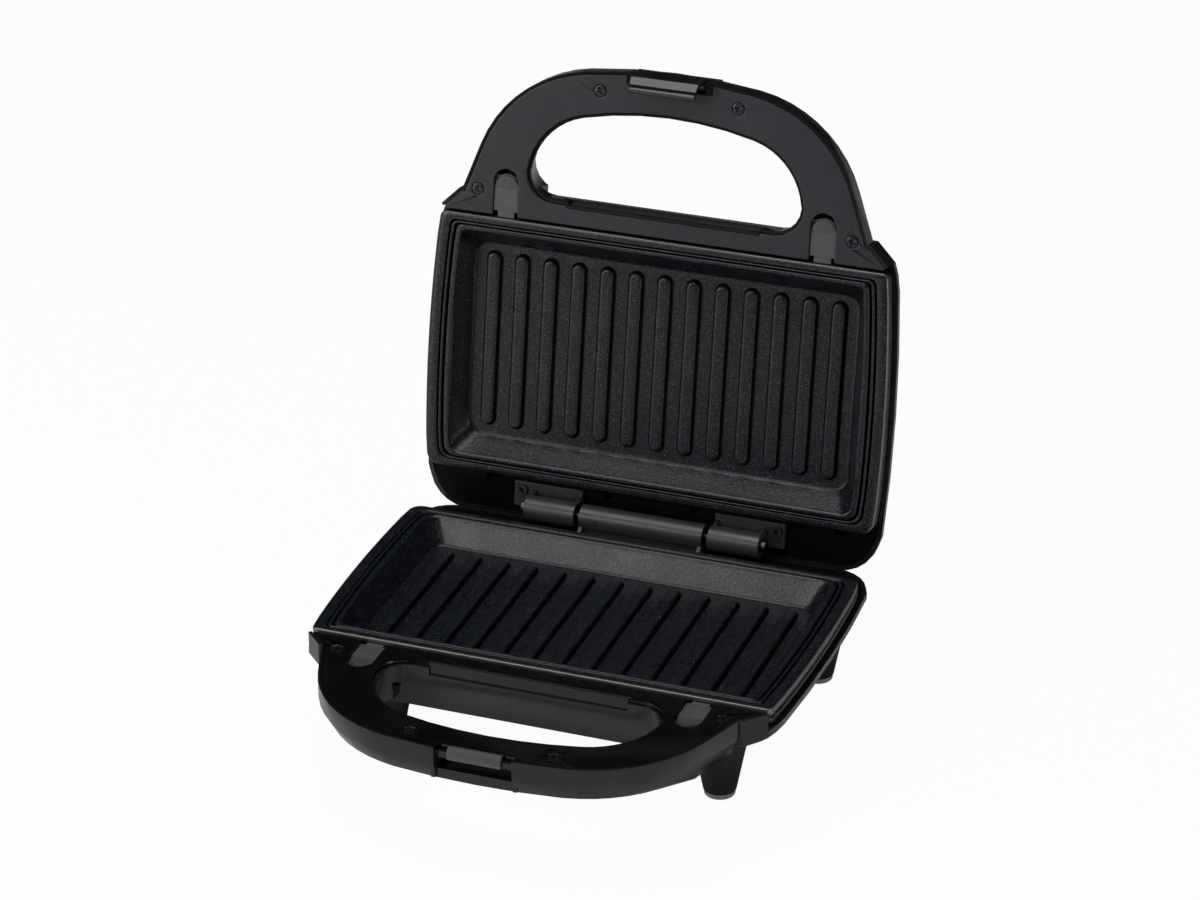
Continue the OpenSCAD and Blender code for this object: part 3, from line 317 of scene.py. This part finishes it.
# one entry per finish: base and rubbed colour, roughness range, bump grain, noise scale and edge wear,
# and where they differ from plain plastic, metal and sheen (specular level)
finishes = {
    "shellGloss": dict(color=(0.010, 0.010, 0.0105), worn=(0.05, 0.05, 0.052), rough=(0.12, 0.18),
                       grain=0.02, scale=26, wear=0.2),
    "coverMirror": dict(color=(0.0035, 0.003, 0.0027), worn=(0.05, 0.048, 0.045), rough=(0.07, 0.12),
                        grain=0.015, scale=26, wear=0.3),
    "coverSatin": dict(color=(0.019, 0.0225, 0.027), worn=(0.08, 0.08, 0.085), rough=(0.36, 0.44),
                       grain=0.06, scale=40, wear=0.3),
    "frameSatin": dict(color=(0.003, 0.003, 0.003), worn=(0.02, 0.02, 0.02), rough=(0.3, 0.42),
                       grain=0.08, scale=60, wear=0.2, sheen=0.08),
    "catchPlastic": dict(color=(0.072, 0.073, 0.076), worn=(0.2, 0.2, 0.205), rough=(0.32, 0.42),
                         grain=0.1, scale=90, wear=0.6),
    "hingePaint": dict(color=(0.050, 0.047, 0.043), worn=(0.20, 0.19, 0.18), rough=(0.3, 0.42),
                       grain=0.1, scale=120, wear=0.6, metal=0.4),
    "pinSteel": dict(color=(0.06, 0.06, 0.06), worn=(0.2, 0.2, 0.2), rough=(0.3, 0.42),
                     grain=0.1, scale=300, wear=0.5, metal=1.0),
    "screwSteel": dict(color=(0.045, 0.047, 0.05), worn=(0.22, 0.22, 0.22), rough=(0.26, 0.36),
                       grain=0.15, scale=300, wear=0.8, metal=0.9),
    "keeperDark": dict(color=(0.09, 0.09, 0.088), worn=(0.1, 0.1, 0.09), rough=(0.2, 0.3),
                       grain=0.1, scale=100, wear=0.5),
    "latchGloss": dict(color=(0.009, 0.009, 0.006), worn=(0.12, 0.12, 0.10), rough=(0.14, 0.22),
                       grain=0.04, scale=60, wear=0.5),
    "legMatte": dict(color=(0.010, 0.010, 0.010), worn=(0.04, 0.04, 0.04), rough=(0.45, 0.6),
                     grain=0.2, scale=120, wear=0.3),
    "padRubber": dict(color=(0.36, 0.37, 0.35), worn=(0.45, 0.45, 0.43), rough=(0.6, 0.75),
                      grain=0.3, scale=150, wear=0.4),
    "reflectorSheet": dict(color=(0.6, 0.61, 0.62), worn=(0.7, 0.7, 0.7), rough=(0.25, 0.4),
                           grain=0.1, scale=80, wear=0.2, metal=1.0),
    "elementSheath": dict(color=(0.20, 0.19, 0.18), worn=(0.3, 0.3, 0.28), rough=(0.4, 0.55),
                          grain=0.2, scale=200, wear=0.2, metal=0.9),
    "ceramic": dict(color=(0.7, 0.67, 0.6), worn=(0.75, 0.73, 0.68), rough=(0.4, 0.55),
                    grain=0.15, scale=150, wear=0.2),
    # painted shade for the foot and lower flank of the ribs
    "ribFlankPaintedShade": dict(color=(0.0015, 0.0014, 0.0013), worn=(0.01, 0.01, 0.01), rough=(0.4, 0.55),
                       grain=0.3, scale=150, wear=0.1, sheen=0.12),
    "bareEdge": dict(color=(0.20, 0.20, 0.18), worn=(0.3, 0.3, 0.28), rough=(0.3, 0.45),
                     grain=0.1, scale=200, wear=0.2, metal=0.8),
    "leadRed": dict(color=(0.25, 0.03, 0.02), worn=(0.3, 0.05, 0.04), rough=(0.4, 0.5),
                    grain=0.1, scale=150, wear=0.2),
    "lensRed": dict(color=(0.5, 0.02, 0.015), worn=(0.5, 0.05, 0.04), rough=(0.08, 0.14),
                    grain=0.02, scale=60, wear=0.1),
    "lensGreen": dict(color=(0.02, 0.32, 0.07), worn=(0.05, 0.4, 0.1), rough=(0.08, 0.14),
                      grain=0.02, scale=60, wear=0.1),
}
coverings = {
    "dustTone": (0.20, 0.20, 0.21),
    "dustAmount": 0.012, "dustScale": 3.0,
    "wearScale": 4.0,
    "bumpReach": 0.0002,
    "plainSheen": 0.5,
}


def groupNode(tree, group, **values):
    node = tree.nodes.new("ShaderNodeGroup")
    node.node_tree = group
    for label, value in values.items():
        node.inputs[label].default_value = value
    return node


def mixColor(tree, share, a, b):
    node = tree.nodes.new("ShaderNodeMix")
    node.data_type = "RGBA"
    tree.links.new(share, node.inputs[0])
    for value, slot in ((a, 6), (b, 7)):
        if isinstance(value, tuple):
            node.inputs[slot].default_value = (*value, 1)
        else:
            tree.links.new(value, node.inputs[slot])
    return node.outputs[2]


def bumpNode(tree, height, strength, reach):
    node = tree.nodes.new("ShaderNodeBump")
    node.inputs["Strength"].default_value = strength
    node.inputs["Distance"].default_value = reach
    tree.links.new(height, node.inputs["Height"])
    return node.outputs["Normal"]


def makeFinish(name):
    v, c = finishes[name], coverings
    mat = bpy.data.materials.new(name)
    mat.use_nodes = True
    tree = mat.node_tree
    bsdf = tree.nodes["Principled BSDF"]
    wear = groupNode(tree, edgeWear, Amount=v["wear"], Scale=v["scale"] * c["wearScale"])
    mottle = groupNode(tree, surfaceMottle, Scale=v["scale"], Low=v["rough"][0], High=v["rough"][1])
    dust = groupNode(tree, dustFilm, Amount=c["dustAmount"], Scale=v["scale"] * c["dustScale"])
    rubbed = mixColor(tree, wear.outputs["Mask"], v["color"], v["worn"])
    dusted = mixColor(tree, dust.outputs["Mask"], rubbed, c["dustTone"])
    tree.links.new(dusted, bsdf.inputs["Base Color"])
    tree.links.new(mottle.outputs["Gloss"], bsdf.inputs["Roughness"])
    bsdf.inputs["Metallic"].default_value = v.get("metal", 0.0)
    bsdf.inputs["Specular IOR Level"].default_value = v.get("sheen", c["plainSheen"])
    grain = bumpNode(tree, mottle.outputs["Grain"], v["grain"], c["bumpReach"])
    tree.links.new(grain, bsdf.inputs["Normal"])
    return mat


nonStickValues = {
    "color": (0.0032, 0.0044, 0.0062),
    "fleck": (0.32, 0.38, 0.47),
    # painted shade colour for the creases
    "groove": (0.0006, 0.0006, 0.0006),
    # painted highlight colour for the crests
    "crest": (0.018, 0.021, 0.026),
    "creaseShadeSpan": 0.05, "crestHighlightSpan": 0.16,
    "rough": (0.26, 0.34),
    "speckleScale": 1500.0,
    "speckleDensity": 0.34,
    "mottleScale": 45.0,
    "bump": 0.4,
    "bumpReach": 0.0003,
    "sheen": 0.5,
}


def makeNonStick():
    v = nonStickValues
    mat = bpy.data.materials.new("nonStickCoat")
    mat.use_nodes = True
    tree = mat.node_tree
    bsdf = tree.nodes["Principled BSDF"]
    speck = groupNode(tree, coatSpeckle, Scale=v["speckleScale"], Density=v["speckleDensity"])
    mottle = groupNode(tree, surfaceMottle, Scale=v["mottleScale"], Low=v["rough"][0], High=v["rough"][1])
    creaseAndCrestPaint = groupNode(tree, creaseShadeAndCrestHighlight, Depth=v["creaseShadeSpan"], Crest=v["crestHighlightSpan"])
    coat = mixColor(tree, speck.outputs["Flecks"], v["color"], v["fleck"])
    # painted highlight on the crests
    lit = mixColor(tree, creaseAndCrestPaint.outputs["Crest"], coat, v["crest"])
    # painted shade in the creases, which also lose their specular
    shaded = mixColor(tree, creaseAndCrestPaint.outputs["Groove"], lit, v["groove"])
    tree.links.new(shaded, bsdf.inputs["Base Color"])
    sheenOffInCreaseShade = rangeNode(tree, creaseAndCrestPaint.outputs["Groove"], 0, 1, v["sheen"], 0)
    tree.links.new(sheenOffInCreaseShade, bsdf.inputs["Specular IOR Level"])
    tree.links.new(mottle.outputs["Gloss"], bsdf.inputs["Roughness"])
    grain = bumpNode(tree, speck.outputs["Height"], v["bump"], v["bumpReach"])
    tree.links.new(grain, bsdf.inputs["Normal"])
    return mat


finishOf = {
    "base_shell": "shellGloss", "lid_shell": "shellGloss",
    "base_handle_cover": "coverMirror", "lid_handle_cover": "coverSatin",
    "base_frame": "frameSatin", "lid_frame": "frameSatin", "cord_gland": "legMatte",
    "latch_keeper": "keeperDark", "latch": "latchGloss",
    "latch_pin": "pinSteel", "latch_spring": "pinSteel",
    "hinge_pin": "pinSteel", "hinge_middle_bracket": "hingePaint",
    "lid_hinge_bracket_left": "hingePaint", "lid_hinge_bracket_right": "hingePaint",
    "legs": "legMatte", "foot_pads": "padRubber", "leg_screws": "pinSteel",
    "thermal_fuse": "pinSteel", "terminal_block": "ceramic", "lamp_carrier": "ceramic",
    "supply_leads": "leadRed", "power_lens": "lensRed", "ready_lens": "lensGreen",
}
for half in ("base", "lid"):
    finishOf[half + "_reflector"] = "reflectorSheet"
    finishOf[half + "_element"] = "elementSheath"
    finishOf[half + "_thermostat"] = "ceramic"
    for hand in ("left", "right"):
        finishOf[f"{half}_catch_{hand}"] = "catchPlastic"
        finishOf[f"{half}_catch_spring_{hand}"] = "pinSteel"
    for kind in ("cover_screws", "frame_screws", "hinge_screws"):
        finishOf[f"{half}_{kind}"] = "screwSteel"

materials = {name: makeFinish(name) for name in finishes}
ribFlankShade = materials["ribFlankPaintedShade"]
nonStick = makeNonStick()
for name, obj in nodes.items():
    obj.data.materials.clear()
    obj.data.materials.append(nonStick if name.endswith("_plate") else materials[finishOf[name]])
print("toaster: finishes on", len(nodes), "nodes")


# shading of the solids that are shown as they are: welded, softly bevelled, smooth up to a given angle
softening = {
    "weld": 0.00001,
    "bevelAngle": math.radians(38),
    "sharpAngle": math.radians(34),
    "bevelSegments": 2,
    "bevels": {
        0.0006: ("base_shell", "lid_shell", "base_handle_cover", "lid_handle_cover"),
        0.0004: ("legs",),
        0.0003: ("latch", "foot_pads", "base_catch_left", "base_catch_right", "lid_catch_left",
                 "lid_catch_right", "hinge_middle_bracket", "lid_hinge_bracket_left",
                 "lid_hinge_bracket_right", "latch_keeper", "base_frame", "lid_frame"),
        0.00012: ("base_cover_screws", "lid_cover_screws"),
    },
}


def makeSmoothTree():
    tree = bpy.data.node_groups.new("smoothByAngle", "GeometryNodeTree")
    tree.interface.new_socket("Geometry", in_out="INPUT", socket_type="NodeSocketGeometry")
    tree.interface.new_socket("Sharp Angle", in_out="INPUT", socket_type="NodeSocketFloat")
    tree.interface.new_socket("Geometry", in_out="OUTPUT", socket_type="NodeSocketGeometry")
    gi, go = tree.nodes.new("NodeGroupInput"), tree.nodes.new("NodeGroupOutput")
    bare = tree.nodes.new("GeometryNodeRemoveAttribute")
    bare.inputs["Name"].default_value = "custom_normal"
    smooth = tree.nodes.new("GeometryNodeSetShadeSmooth")
    smooth.domain = "FACE"
    smooth.inputs["Shade Smooth"].default_value = True
    sharp = tree.nodes.new("GeometryNodeSetShadeSmooth")
    sharp.domain = "EDGE"
    sharp.inputs["Shade Smooth"].default_value = False
    angle = tree.nodes.new("GeometryNodeInputMeshEdgeAngle")
    over = tree.nodes.new("FunctionNodeCompare")
    over.data_type = "FLOAT"
    over.operation = "GREATER_THAN"
    tree.links.new(angle.outputs["Unsigned Angle"], over.inputs["A"])
    tree.links.new(gi.outputs["Sharp Angle"], over.inputs["B"])
    tree.links.new(gi.outputs["Geometry"], bare.inputs["Geometry"])
    tree.links.new(bare.outputs["Geometry"], smooth.inputs["Geometry"])
    tree.links.new(smooth.outputs["Geometry"], sharp.inputs["Geometry"])
    tree.links.new(over.outputs["Result"], sharp.inputs["Selection"])
    tree.links.new(sharp.outputs["Geometry"], go.inputs["Geometry"])
    return tree


def socketId(tree, label):
    for item in tree.interface.items_tree:
        if item.item_type == "SOCKET" and item.in_out == "INPUT" and item.name == label:
            return item.identifier


def addSmoothing(obj, bevelWidth):
    weld = obj.modifiers.new("weld", "WELD")
    weld.merge_threshold = softening["weld"]
    if bevelWidth:
        bevel = obj.modifiers.new("softEdges", "BEVEL")
        bevel.width = bevelWidth
        bevel.segments = softening["bevelSegments"]
        bevel.limit_method = "ANGLE"
        bevel.angle_limit = softening["bevelAngle"]
    smooth = obj.modifiers.new("smoothByAngle", "NODES")
    smooth.node_group = smoothTree
    smooth[socketId(smoothTree, "Sharp Angle")] = softening["sharpAngle"]
    weighted = obj.modifiers.new("weightedNormals", "WEIGHTED_NORMAL")
    weighted.keep_sharp = True


smoothTree = makeSmoothTree()
bevelOf = {name: width for width, names in softening["bevels"].items() for name in names}
for name, obj in nodes.items():
    if not name.endswith("_plate"):
        addSmoothing(obj, bevelOf.get(name, 0))
print("toaster: solids softened")


def loftPiece(name, rings, place, material, otherMaterial=None, otherRows=()):
    # skin over rings of (x, y, h) points, with a cap at each end
    bm = bmesh.new()
    rows = [[bm.verts.new(place(point)) for point in ring] for ring in rings]
    count = len(rows[0])
    for row, (low, high) in enumerate(zip(rows, rows[1:])):
        for i in range(count):
            face = bm.faces.new((low[i], low[(i + 1) % count], high[(i + 1) % count], high[i]))
            face.material_index = 1 if row in otherRows else 0
    bm.faces.new(rows[0][::-1])
    bm.faces.new(rows[-1])
    bmesh.ops.recalc_face_normals(bm, faces=bm.faces)
    for face in bm.faces:
        face.smooth = True
    mesh = bpy.data.meshes.new(name)
    bm.to_mesh(mesh)
    bm.free()
    mesh.materials.append(material)
    if otherMaterial:
        mesh.materials.append(otherMaterial)
    obj = bpy.data.objects.new(name, mesh)
    bpy.context.scene.collection.objects.link(obj)
    return obj


def levelRing(loop, h):
    return [(x, y, h) for x, y in loop]


# grill plates: one casting drawn as rings from the underside over the rim and down into the well
plateValues = {
    "halfWidth": 0.118, "halfDepth": 0.065,
    "bowRadius": 0.830, "bowMiddle": 0.013,
    "frontCorner": 0.003, "rearCorner": 0.006,
    "wellHalfWidth": 0.1052, "wellHalfDepth": 0.0572, "wellCorner": 0.007,
    "flangeH": 0.0005, "wall": 0.0022, "wellFloor": 0.0125,
    "slope": 0.008, "sideShare": 0.8,   # the side walls of the well are steeper
    "underReach": 0.004,                # underside: flat part, bend and chamfer
    "underBend": 0.001, "underIn": 0.0005, "underDrop": 0.0012,
    "cornerBend": 0.0006,
    "skirtEnd": 0.0088, "skirtRound": 0.0003,
    "skirtGroove": (0.0048, 0.0047, 0.0041, 0.0040), "skirtGrooveIn": 0.0005,
    "bareRows": 3,                      # rows of the outer edge that the coating leaves bare
    "ringShare": 0.6,                   # rings are narrower along the depth than at the sides
    "cornerSteps": 6, "sideSteps": 14, "frontSteps": 24,
}
# beads and grooves: distance in from the edge, height
rimProfile = [
    (0.0000, 0.00120), (0.00015, 0.00080), (0.0005, 0.00050), (0.0030, 0.00050), (0.0052, 0.00050),
    (0.0056, 0.00060), (0.0057, 0.00150), (0.0059, 0.00180), (0.0065, 0.00180), (0.0067, 0.00140),
    (0.0068, 0.00045), (0.0071, 0.00022), (0.0076, 0.00022), (0.0079, 0.00032), (0.0081, 0.00070),
    (0.0082, 0.00150), (0.0084, 0.00180), (0.0091, 0.00180), (0.0093, 0.00150), (0.0094, 0.00070),
    (0.0096, 0.00034), (0.0101, 0.00022), (0.0110, 0.00020), (0.0118, 0.00022), (0.0122, 0.00030),
]
# well wall: share of the slope, height
wellProfile = [
    (0.00, 0.00060), (0.03, 0.00110), (0.10, 0.00200), (0.50, 0.00665), (0.86, 0.01090),
    (0.92, 0.01165), (0.985, 0.01215), (1.08, 0.01242), (1.20, 0.01250), (1.45, 0.01250),
]


def bowedX(halfWidth, y):
    v = plateValues
    return halfWidth - v["bowRadius"] + math.sqrt(v["bowRadius"] ** 2 - (y - v["bowMiddle"]) ** 2)


def cornerArc(cx, cy, radius, start, steps):
    return [(cx + radius * math.cos(math.radians(start + 90 * i / steps)),
             cy + radius * math.sin(math.radians(start + 90 * i / steps))) for i in range(steps + 1)]


def outlineLoop(front, rear, frontHalf, rearHalf, frontRadius, rearRadius, sideX):
    # anticlockwise from the front right corner; every loop has the same number of points
    v = plateValues
    right = cornerArc(frontHalf - frontRadius, front + frontRadius, frontRadius, -90, v["cornerSteps"])
    y0, y1 = front + frontRadius, rear - rearRadius
    for i in range(1, v["sideSteps"]):
        y = y0 + (y1 - y0) * i / v["sideSteps"]
        right.append((sideX(y), y))
    right += cornerArc(rearHalf - rearRadius, rear - rearRadius, rearRadius, 0, v["cornerSteps"])
    left = [(-x, y) for x, y in reversed(right)]
    rearX, frontX = rearHalf - rearRadius, frontHalf - frontRadius
    back = [(rearX - 2 * rearX * i / v["frontSteps"], rear) for i in range(1, v["frontSteps"])]
    ahead = [(-frontX + 2 * frontX * i / v["frontSteps"], front) for i in range(1, v["frontSteps"])]
    return right + back + left + ahead


def edgeLoop(inset):
    v = plateValues
    half = v["halfWidth"] - inset
    front, rear = -v["halfDepth"] + inset * v["ringShare"], v["halfDepth"] - inset * v["ringShare"]
    return outlineLoop(front, rear, bowedX(half, front), bowedX(half, rear),
                       v["frontCorner"], v["rearCorner"], lambda y: bowedX(half, y))


def wellLoop(inset):
    v = plateValues
    half, depth = v["wellHalfWidth"] - inset * v["sideShare"], v["wellHalfDepth"] - inset
    return outlineLoop(-depth, depth, half, half, v["wellCorner"], v["wellCorner"], lambda y: half)


def plateRings():
    v = plateValues
    slope, wall, bend = v["slope"], v["wall"], v["cornerBend"]
    under = v["wellFloor"] + wall
    flange = v["flangeH"] + wall
    top, topIn, lowIn, low = v["skirtGroove"]
    pairs = [
        (wellLoop(slope + v["underReach"]), under),
        (wellLoop(slope - wall + v["underBend"]), under),
        (wellLoop(slope - wall - v["underIn"]), under - v["underDrop"]),
        (wellLoop(-wall), flange + bend),
        (wellLoop(-wall - bend), flange),
        (edgeLoop(wall + bend), flange),
        (edgeLoop(wall), flange + bend),
        (edgeLoop(wall), v["skirtEnd"]),
        (edgeLoop(v["skirtRound"]), v["skirtEnd"]),
        (edgeLoop(0.0), v["skirtEnd"] - v["skirtRound"]),
        (edgeLoop(0.0), top),
        (edgeLoop(v["skirtGrooveIn"]), topIn),
        (edgeLoop(v["skirtGrooveIn"]), lowIn),
        (edgeLoop(0.0), low),
    ]
    bareStart = len(pairs) - 1
    pairs += [(edgeLoop(inset), h) for inset, h in rimProfile]
    pairs += [(wellLoop(share * slope), h) for share, h in wellProfile]
    return [levelRing(loop, h) for loop, h in pairs], range(bareStart, bareStart + v["bareRows"])


# ribs: one rib is lofted, then set out along the floor by Geometry Nodes
ribValues = {
    "count": 13,
    "pitch": 0.0148,
    "endMiddle": 0.0409,                # centre of the round ends from the middle of the rib
    "shift": -0.0005,
    "arcSteps": 10,
    "sideSteps": 6,
    "paintedShadeBelow": 0.0021,                # height up to which the foot and flank get the near-black painted shade material
    # half width and height over the floor, from the foot to the crest
    "profile": [(0.00440, -0.0006), (0.00430, 0.00006), (0.00402, 0.00012), (0.00385, 0.00035),
                (0.00368, 0.00075), (0.00318, 0.00200), (0.00300, 0.00235), (0.00278, 0.00255),
                (0.00245, 0.00268), (0.00180, 0.00272), (0.0009, 0.00273)],
}


def capsuleLoop(radius):
    v = ribValues
    ys = v["endMiddle"]
    turns = [math.pi * i / v["arcSteps"] for i in range(v["arcSteps"] + 1)]
    top = [(radius * math.cos(turn), ys + radius * math.sin(turn)) for turn in turns]
    down = [(-radius, ys - 2 * ys * i / v["sideSteps"]) for i in range(1, v["sideSteps"])]
    bottom = [(-x, -y) for x, y in top]
    up = [(-x, -y) for x, y in down]
    return top + down + bottom + up


def makeRibTree():
    tree = bpy.data.node_groups.new("ribRow", "GeometryNodeTree")
    inputs = {"Geometry": "Geometry", "Count": "Int", "Pitch": "Float", "Material": "Material"}
    for label, kind in inputs.items():
        tree.interface.new_socket(label, in_out="INPUT", socket_type="NodeSocket" + kind)
    tree.interface.new_socket("Geometry", in_out="OUTPUT", socket_type="NodeSocketGeometry")
    gi, go = tree.nodes.new("NodeGroupInput"), tree.nodes.new("NodeGroupOutput")
    line = tree.nodes.new("GeometryNodeMeshLine")
    line.mode = "OFFSET"
    step = tree.nodes.new("ShaderNodeCombineXYZ")
    first = tree.nodes.new("ShaderNodeCombineXYZ")
    copies = tree.nodes.new("GeometryNodeInstanceOnPoints")
    real = tree.nodes.new("GeometryNodeRealizeInstances")
    coat = tree.nodes.new("GeometryNodeSetMaterial")
    gaps = mathNode(tree, "SUBTRACT", gi.outputs["Count"], 1)
    span = mathNode(tree, "MULTIPLY", gaps, gi.outputs["Pitch"])
    join = tree.links.new
    join(mathNode(tree, "MULTIPLY", span, -0.5), first.inputs["X"])
    join(gi.outputs["Pitch"], step.inputs["X"])
    join(gi.outputs["Count"], line.inputs["Count"])
    join(step.outputs["Vector"], line.inputs["Offset"])
    join(first.outputs["Vector"], line.inputs["Start Location"])
    join(line.outputs["Mesh"], copies.inputs["Points"])
    join(gi.outputs["Geometry"], copies.inputs["Instance"])
    join(copies.outputs["Instances"], real.inputs["Geometry"])
    join(real.outputs["Geometry"], coat.inputs["Geometry"])
    join(gi.outputs["Material"], coat.inputs["Material"])
    join(coat.outputs["Geometry"], go.inputs["Geometry"])
    return tree


def convertModifier(obj, name):
    # turns what the modifiers make into a plain mesh
    graph = bpy.context.evaluated_depsgraph_get()
    mesh = bpy.data.meshes.new_from_object(obj.evaluated_get(graph))
    mesh.name = name
    obj.modifiers.clear()
    obj.data = mesh


def makeRibs(name, place):
    v = ribValues
    rings = [levelRing(capsuleLoop(radius), height) for radius, height in v["profile"]]
    obj = loftPiece(name, rings, lambda p: p, nonStick)
    row = obj.modifiers.new("ribRow", "NODES")
    row.node_group = ribTree
    row[socketId(ribTree, "Count")] = v["count"]
    row[socketId(ribTree, "Pitch")] = v["pitch"]
    row[socketId(ribTree, "Material")] = nonStick
    convertModifier(obj, name)
    # painted shade: faces of the rib foot and lower flank take the near-black material
    obj.data.materials.append(ribFlankShade)
    for face in obj.data.polygons:
        face.material_index = 1 if face.center.z < v["paintedShadeBelow"] else 0
    for vert in obj.data.vertices:
        x, y, z = vert.co
        vert.co = place((x, y + v["shift"], plateValues["wellFloor"] - z))
    flipToOutside(obj.data)
    return obj


def flipToOutside(mesh):
    bm = bmesh.new()
    bm.from_mesh(mesh)
    bmesh.ops.recalc_face_normals(bm, faces=bm.faces)
    bm.to_mesh(mesh)
    bm.free()


ribTree = makeRibTree()
for half, place in (("base", placeBase), ("lid", placeLid)):
    rings, bareRows = plateRings()
    casting = loftPiece(half + "PlateCasting", rings, place, nonStick, materials["bareEdge"], bareRows)
    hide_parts(half + "_plate")
    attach(casting, half)
    ribs = makeRibs(half + "PlateRibs", place)
    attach(ribs, half)
print("toaster: plates and ribs lofted")


# latch: hooked profile (y, h) swept along x, narrower towards the claw
latchValues = {
    "halfWidth": 0.0176,
    "taperFrom": -0.001, "taper": math.tan(math.radians(5)),
    "endRound": 0.0005, "endShrink": 0.94,
    "straightShare": 0.34,              # middle part of the width
    "hub": (-0.1436, 0.0026, 0.0027),   # y, h, radius
    "hubStart": -80, "hubTurn": 240, "hubSteps": 12,
    # from the outer top edge down to the claw, over its groove and lip, and back up
    "profile": [(-0.1461, 0.00375), (-0.1466, 0.00365), (-0.1470, 0.00330), (-0.1471, 0.0028),
                (-0.14655, -0.0020), (-0.1461, -0.0060), (-0.1459, -0.00655), (-0.14555, -0.0070),
                (-0.14290, -0.00930), (-0.14250, -0.00955), (-0.14215, -0.00905), (-0.14185, -0.00900),
                (-0.14160, -0.01010), (-0.14125, -0.01065), (-0.14080, -0.01110), (-0.14000, -0.01165),
                (-0.13945, -0.01178), (-0.13895, -0.01165), (-0.13863, -0.01125), (-0.13865, -0.0104),
                (-0.1444, -0.00700), (-0.1446, -0.0064), (-0.1446, -0.0020), (-0.1443, -0.0003)],
}


def sweptPiece(name, rings, place, material):
    obj = loftPiece(name, rings, place, material)
    addSmoothing(obj, 0)
    return obj


def makeLatch():
    v = latchValues
    hubY, hubH, hubR = v["hub"]
    steps = range(v["hubSteps"] + 1)
    turns = [math.radians(v["hubStart"] + v["hubTurn"] * i / v["hubSteps"]) for i in steps]
    hub = [(hubY + hubR * math.cos(turn), hubH + hubR * math.sin(turn)) for turn in turns]
    outline = hub + v["profile"]
    midY = sum(y for y, h in outline) / len(outline)
    midH = sum(h for y, h in outline) / len(outline)
    inner, middle = 1 - v["endRound"] / v["halfWidth"], v["straightShare"]
    rings = []
    for along, shrink in ((-1, v["endShrink"]), (-inner, 1.0), (-middle, 1.0),
                          (middle, 1.0), (inner, 1.0), (1, v["endShrink"])):
        ring = []
        for y, h in outline:
            half = v["halfWidth"] - max(v["taperFrom"] - h, 0) * v["taper"]
            ring.append((along * half, midY + (y - midY) * shrink, midH + (h - midH) * shrink))
        rings.append(ring)
    return sweptPiece("latchBody", rings, placeLid, materials["latchGloss"])


latchBody = makeLatch()
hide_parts("latch")
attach(latchBody, "latch")

# thumb pads of the plate catches: a round head and a flat tongue
catchValues = {
    "middleX": 0.0808,
    "headMiddle": -0.0801, "headRadius": 0.0062, "headSteps": 20,
    "headTop": 0.0026, "tongueTop": 0.0031, "foot": 0.0042,
    "tongueHalf": 0.0060, "tongueEnd": -0.0700, "tongueGap": 0.0002, "tongueTaper": 0.0003,
    "edge": 0.00035, "edgeMiddle": 0.3, "capShare": 0.6,
}


def padRings(loop, top):
    v = catchValues
    midX = sum(x for x, y in loop) / len(loop)
    midY = sum(y for x, y in loop) / len(loop)

    def shrunk(inset, h):
        share = 1 - inset / v["headRadius"]
        return [(midX + (x - midX) * share, midY + (y - midY) * share, h) for x, y in loop]

    part = v["edge"] * v["edgeMiddle"]
    return [shrunk(0, v["foot"]), shrunk(0, top + v["edge"]), shrunk(part, top + part),
            shrunk(v["edge"], top), shrunk(v["headRadius"] * v["capShare"], top)]


def makeCatchPads(name, side, place):
    v = catchValues
    cx, radius = side * v["middleX"], v["headRadius"]
    start, end = v["headMiddle"], v["tongueEnd"]
    wide, narrow = v["tongueHalf"], v["tongueHalf"] - v["tongueTaper"]
    turns = [math.pi * i / v["headSteps"] for i in range(v["headSteps"] + 1)]
    head = [(cx + radius * math.cos(turn), start - radius * math.sin(turn)) for turn in turns]
    tongue = [(cx - wide, start + v["tongueGap"]), (cx + wide, start + v["tongueGap"]),
              (cx + narrow, end), (cx - narrow, end)]
    pieces = []
    for kind, loop, top in (("Head", head, v["headTop"]), ("Tongue", tongue, v["tongueTop"])):
        pieces.append(sweptPiece(name + kind, padRings(loop, top), place, materials["catchPlastic"]))
    return pieces


for half, place in (("base", placeBase), ("lid", placeLid)):
    for hand, side in (("left", -1), ("right", 1)):
        for piece in makeCatchPads(f"{half}Catch{hand.title()}", side, place):
            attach(piece, f"{half}_catch_{hand[0]}")
print("toaster: latch and catch pads built")
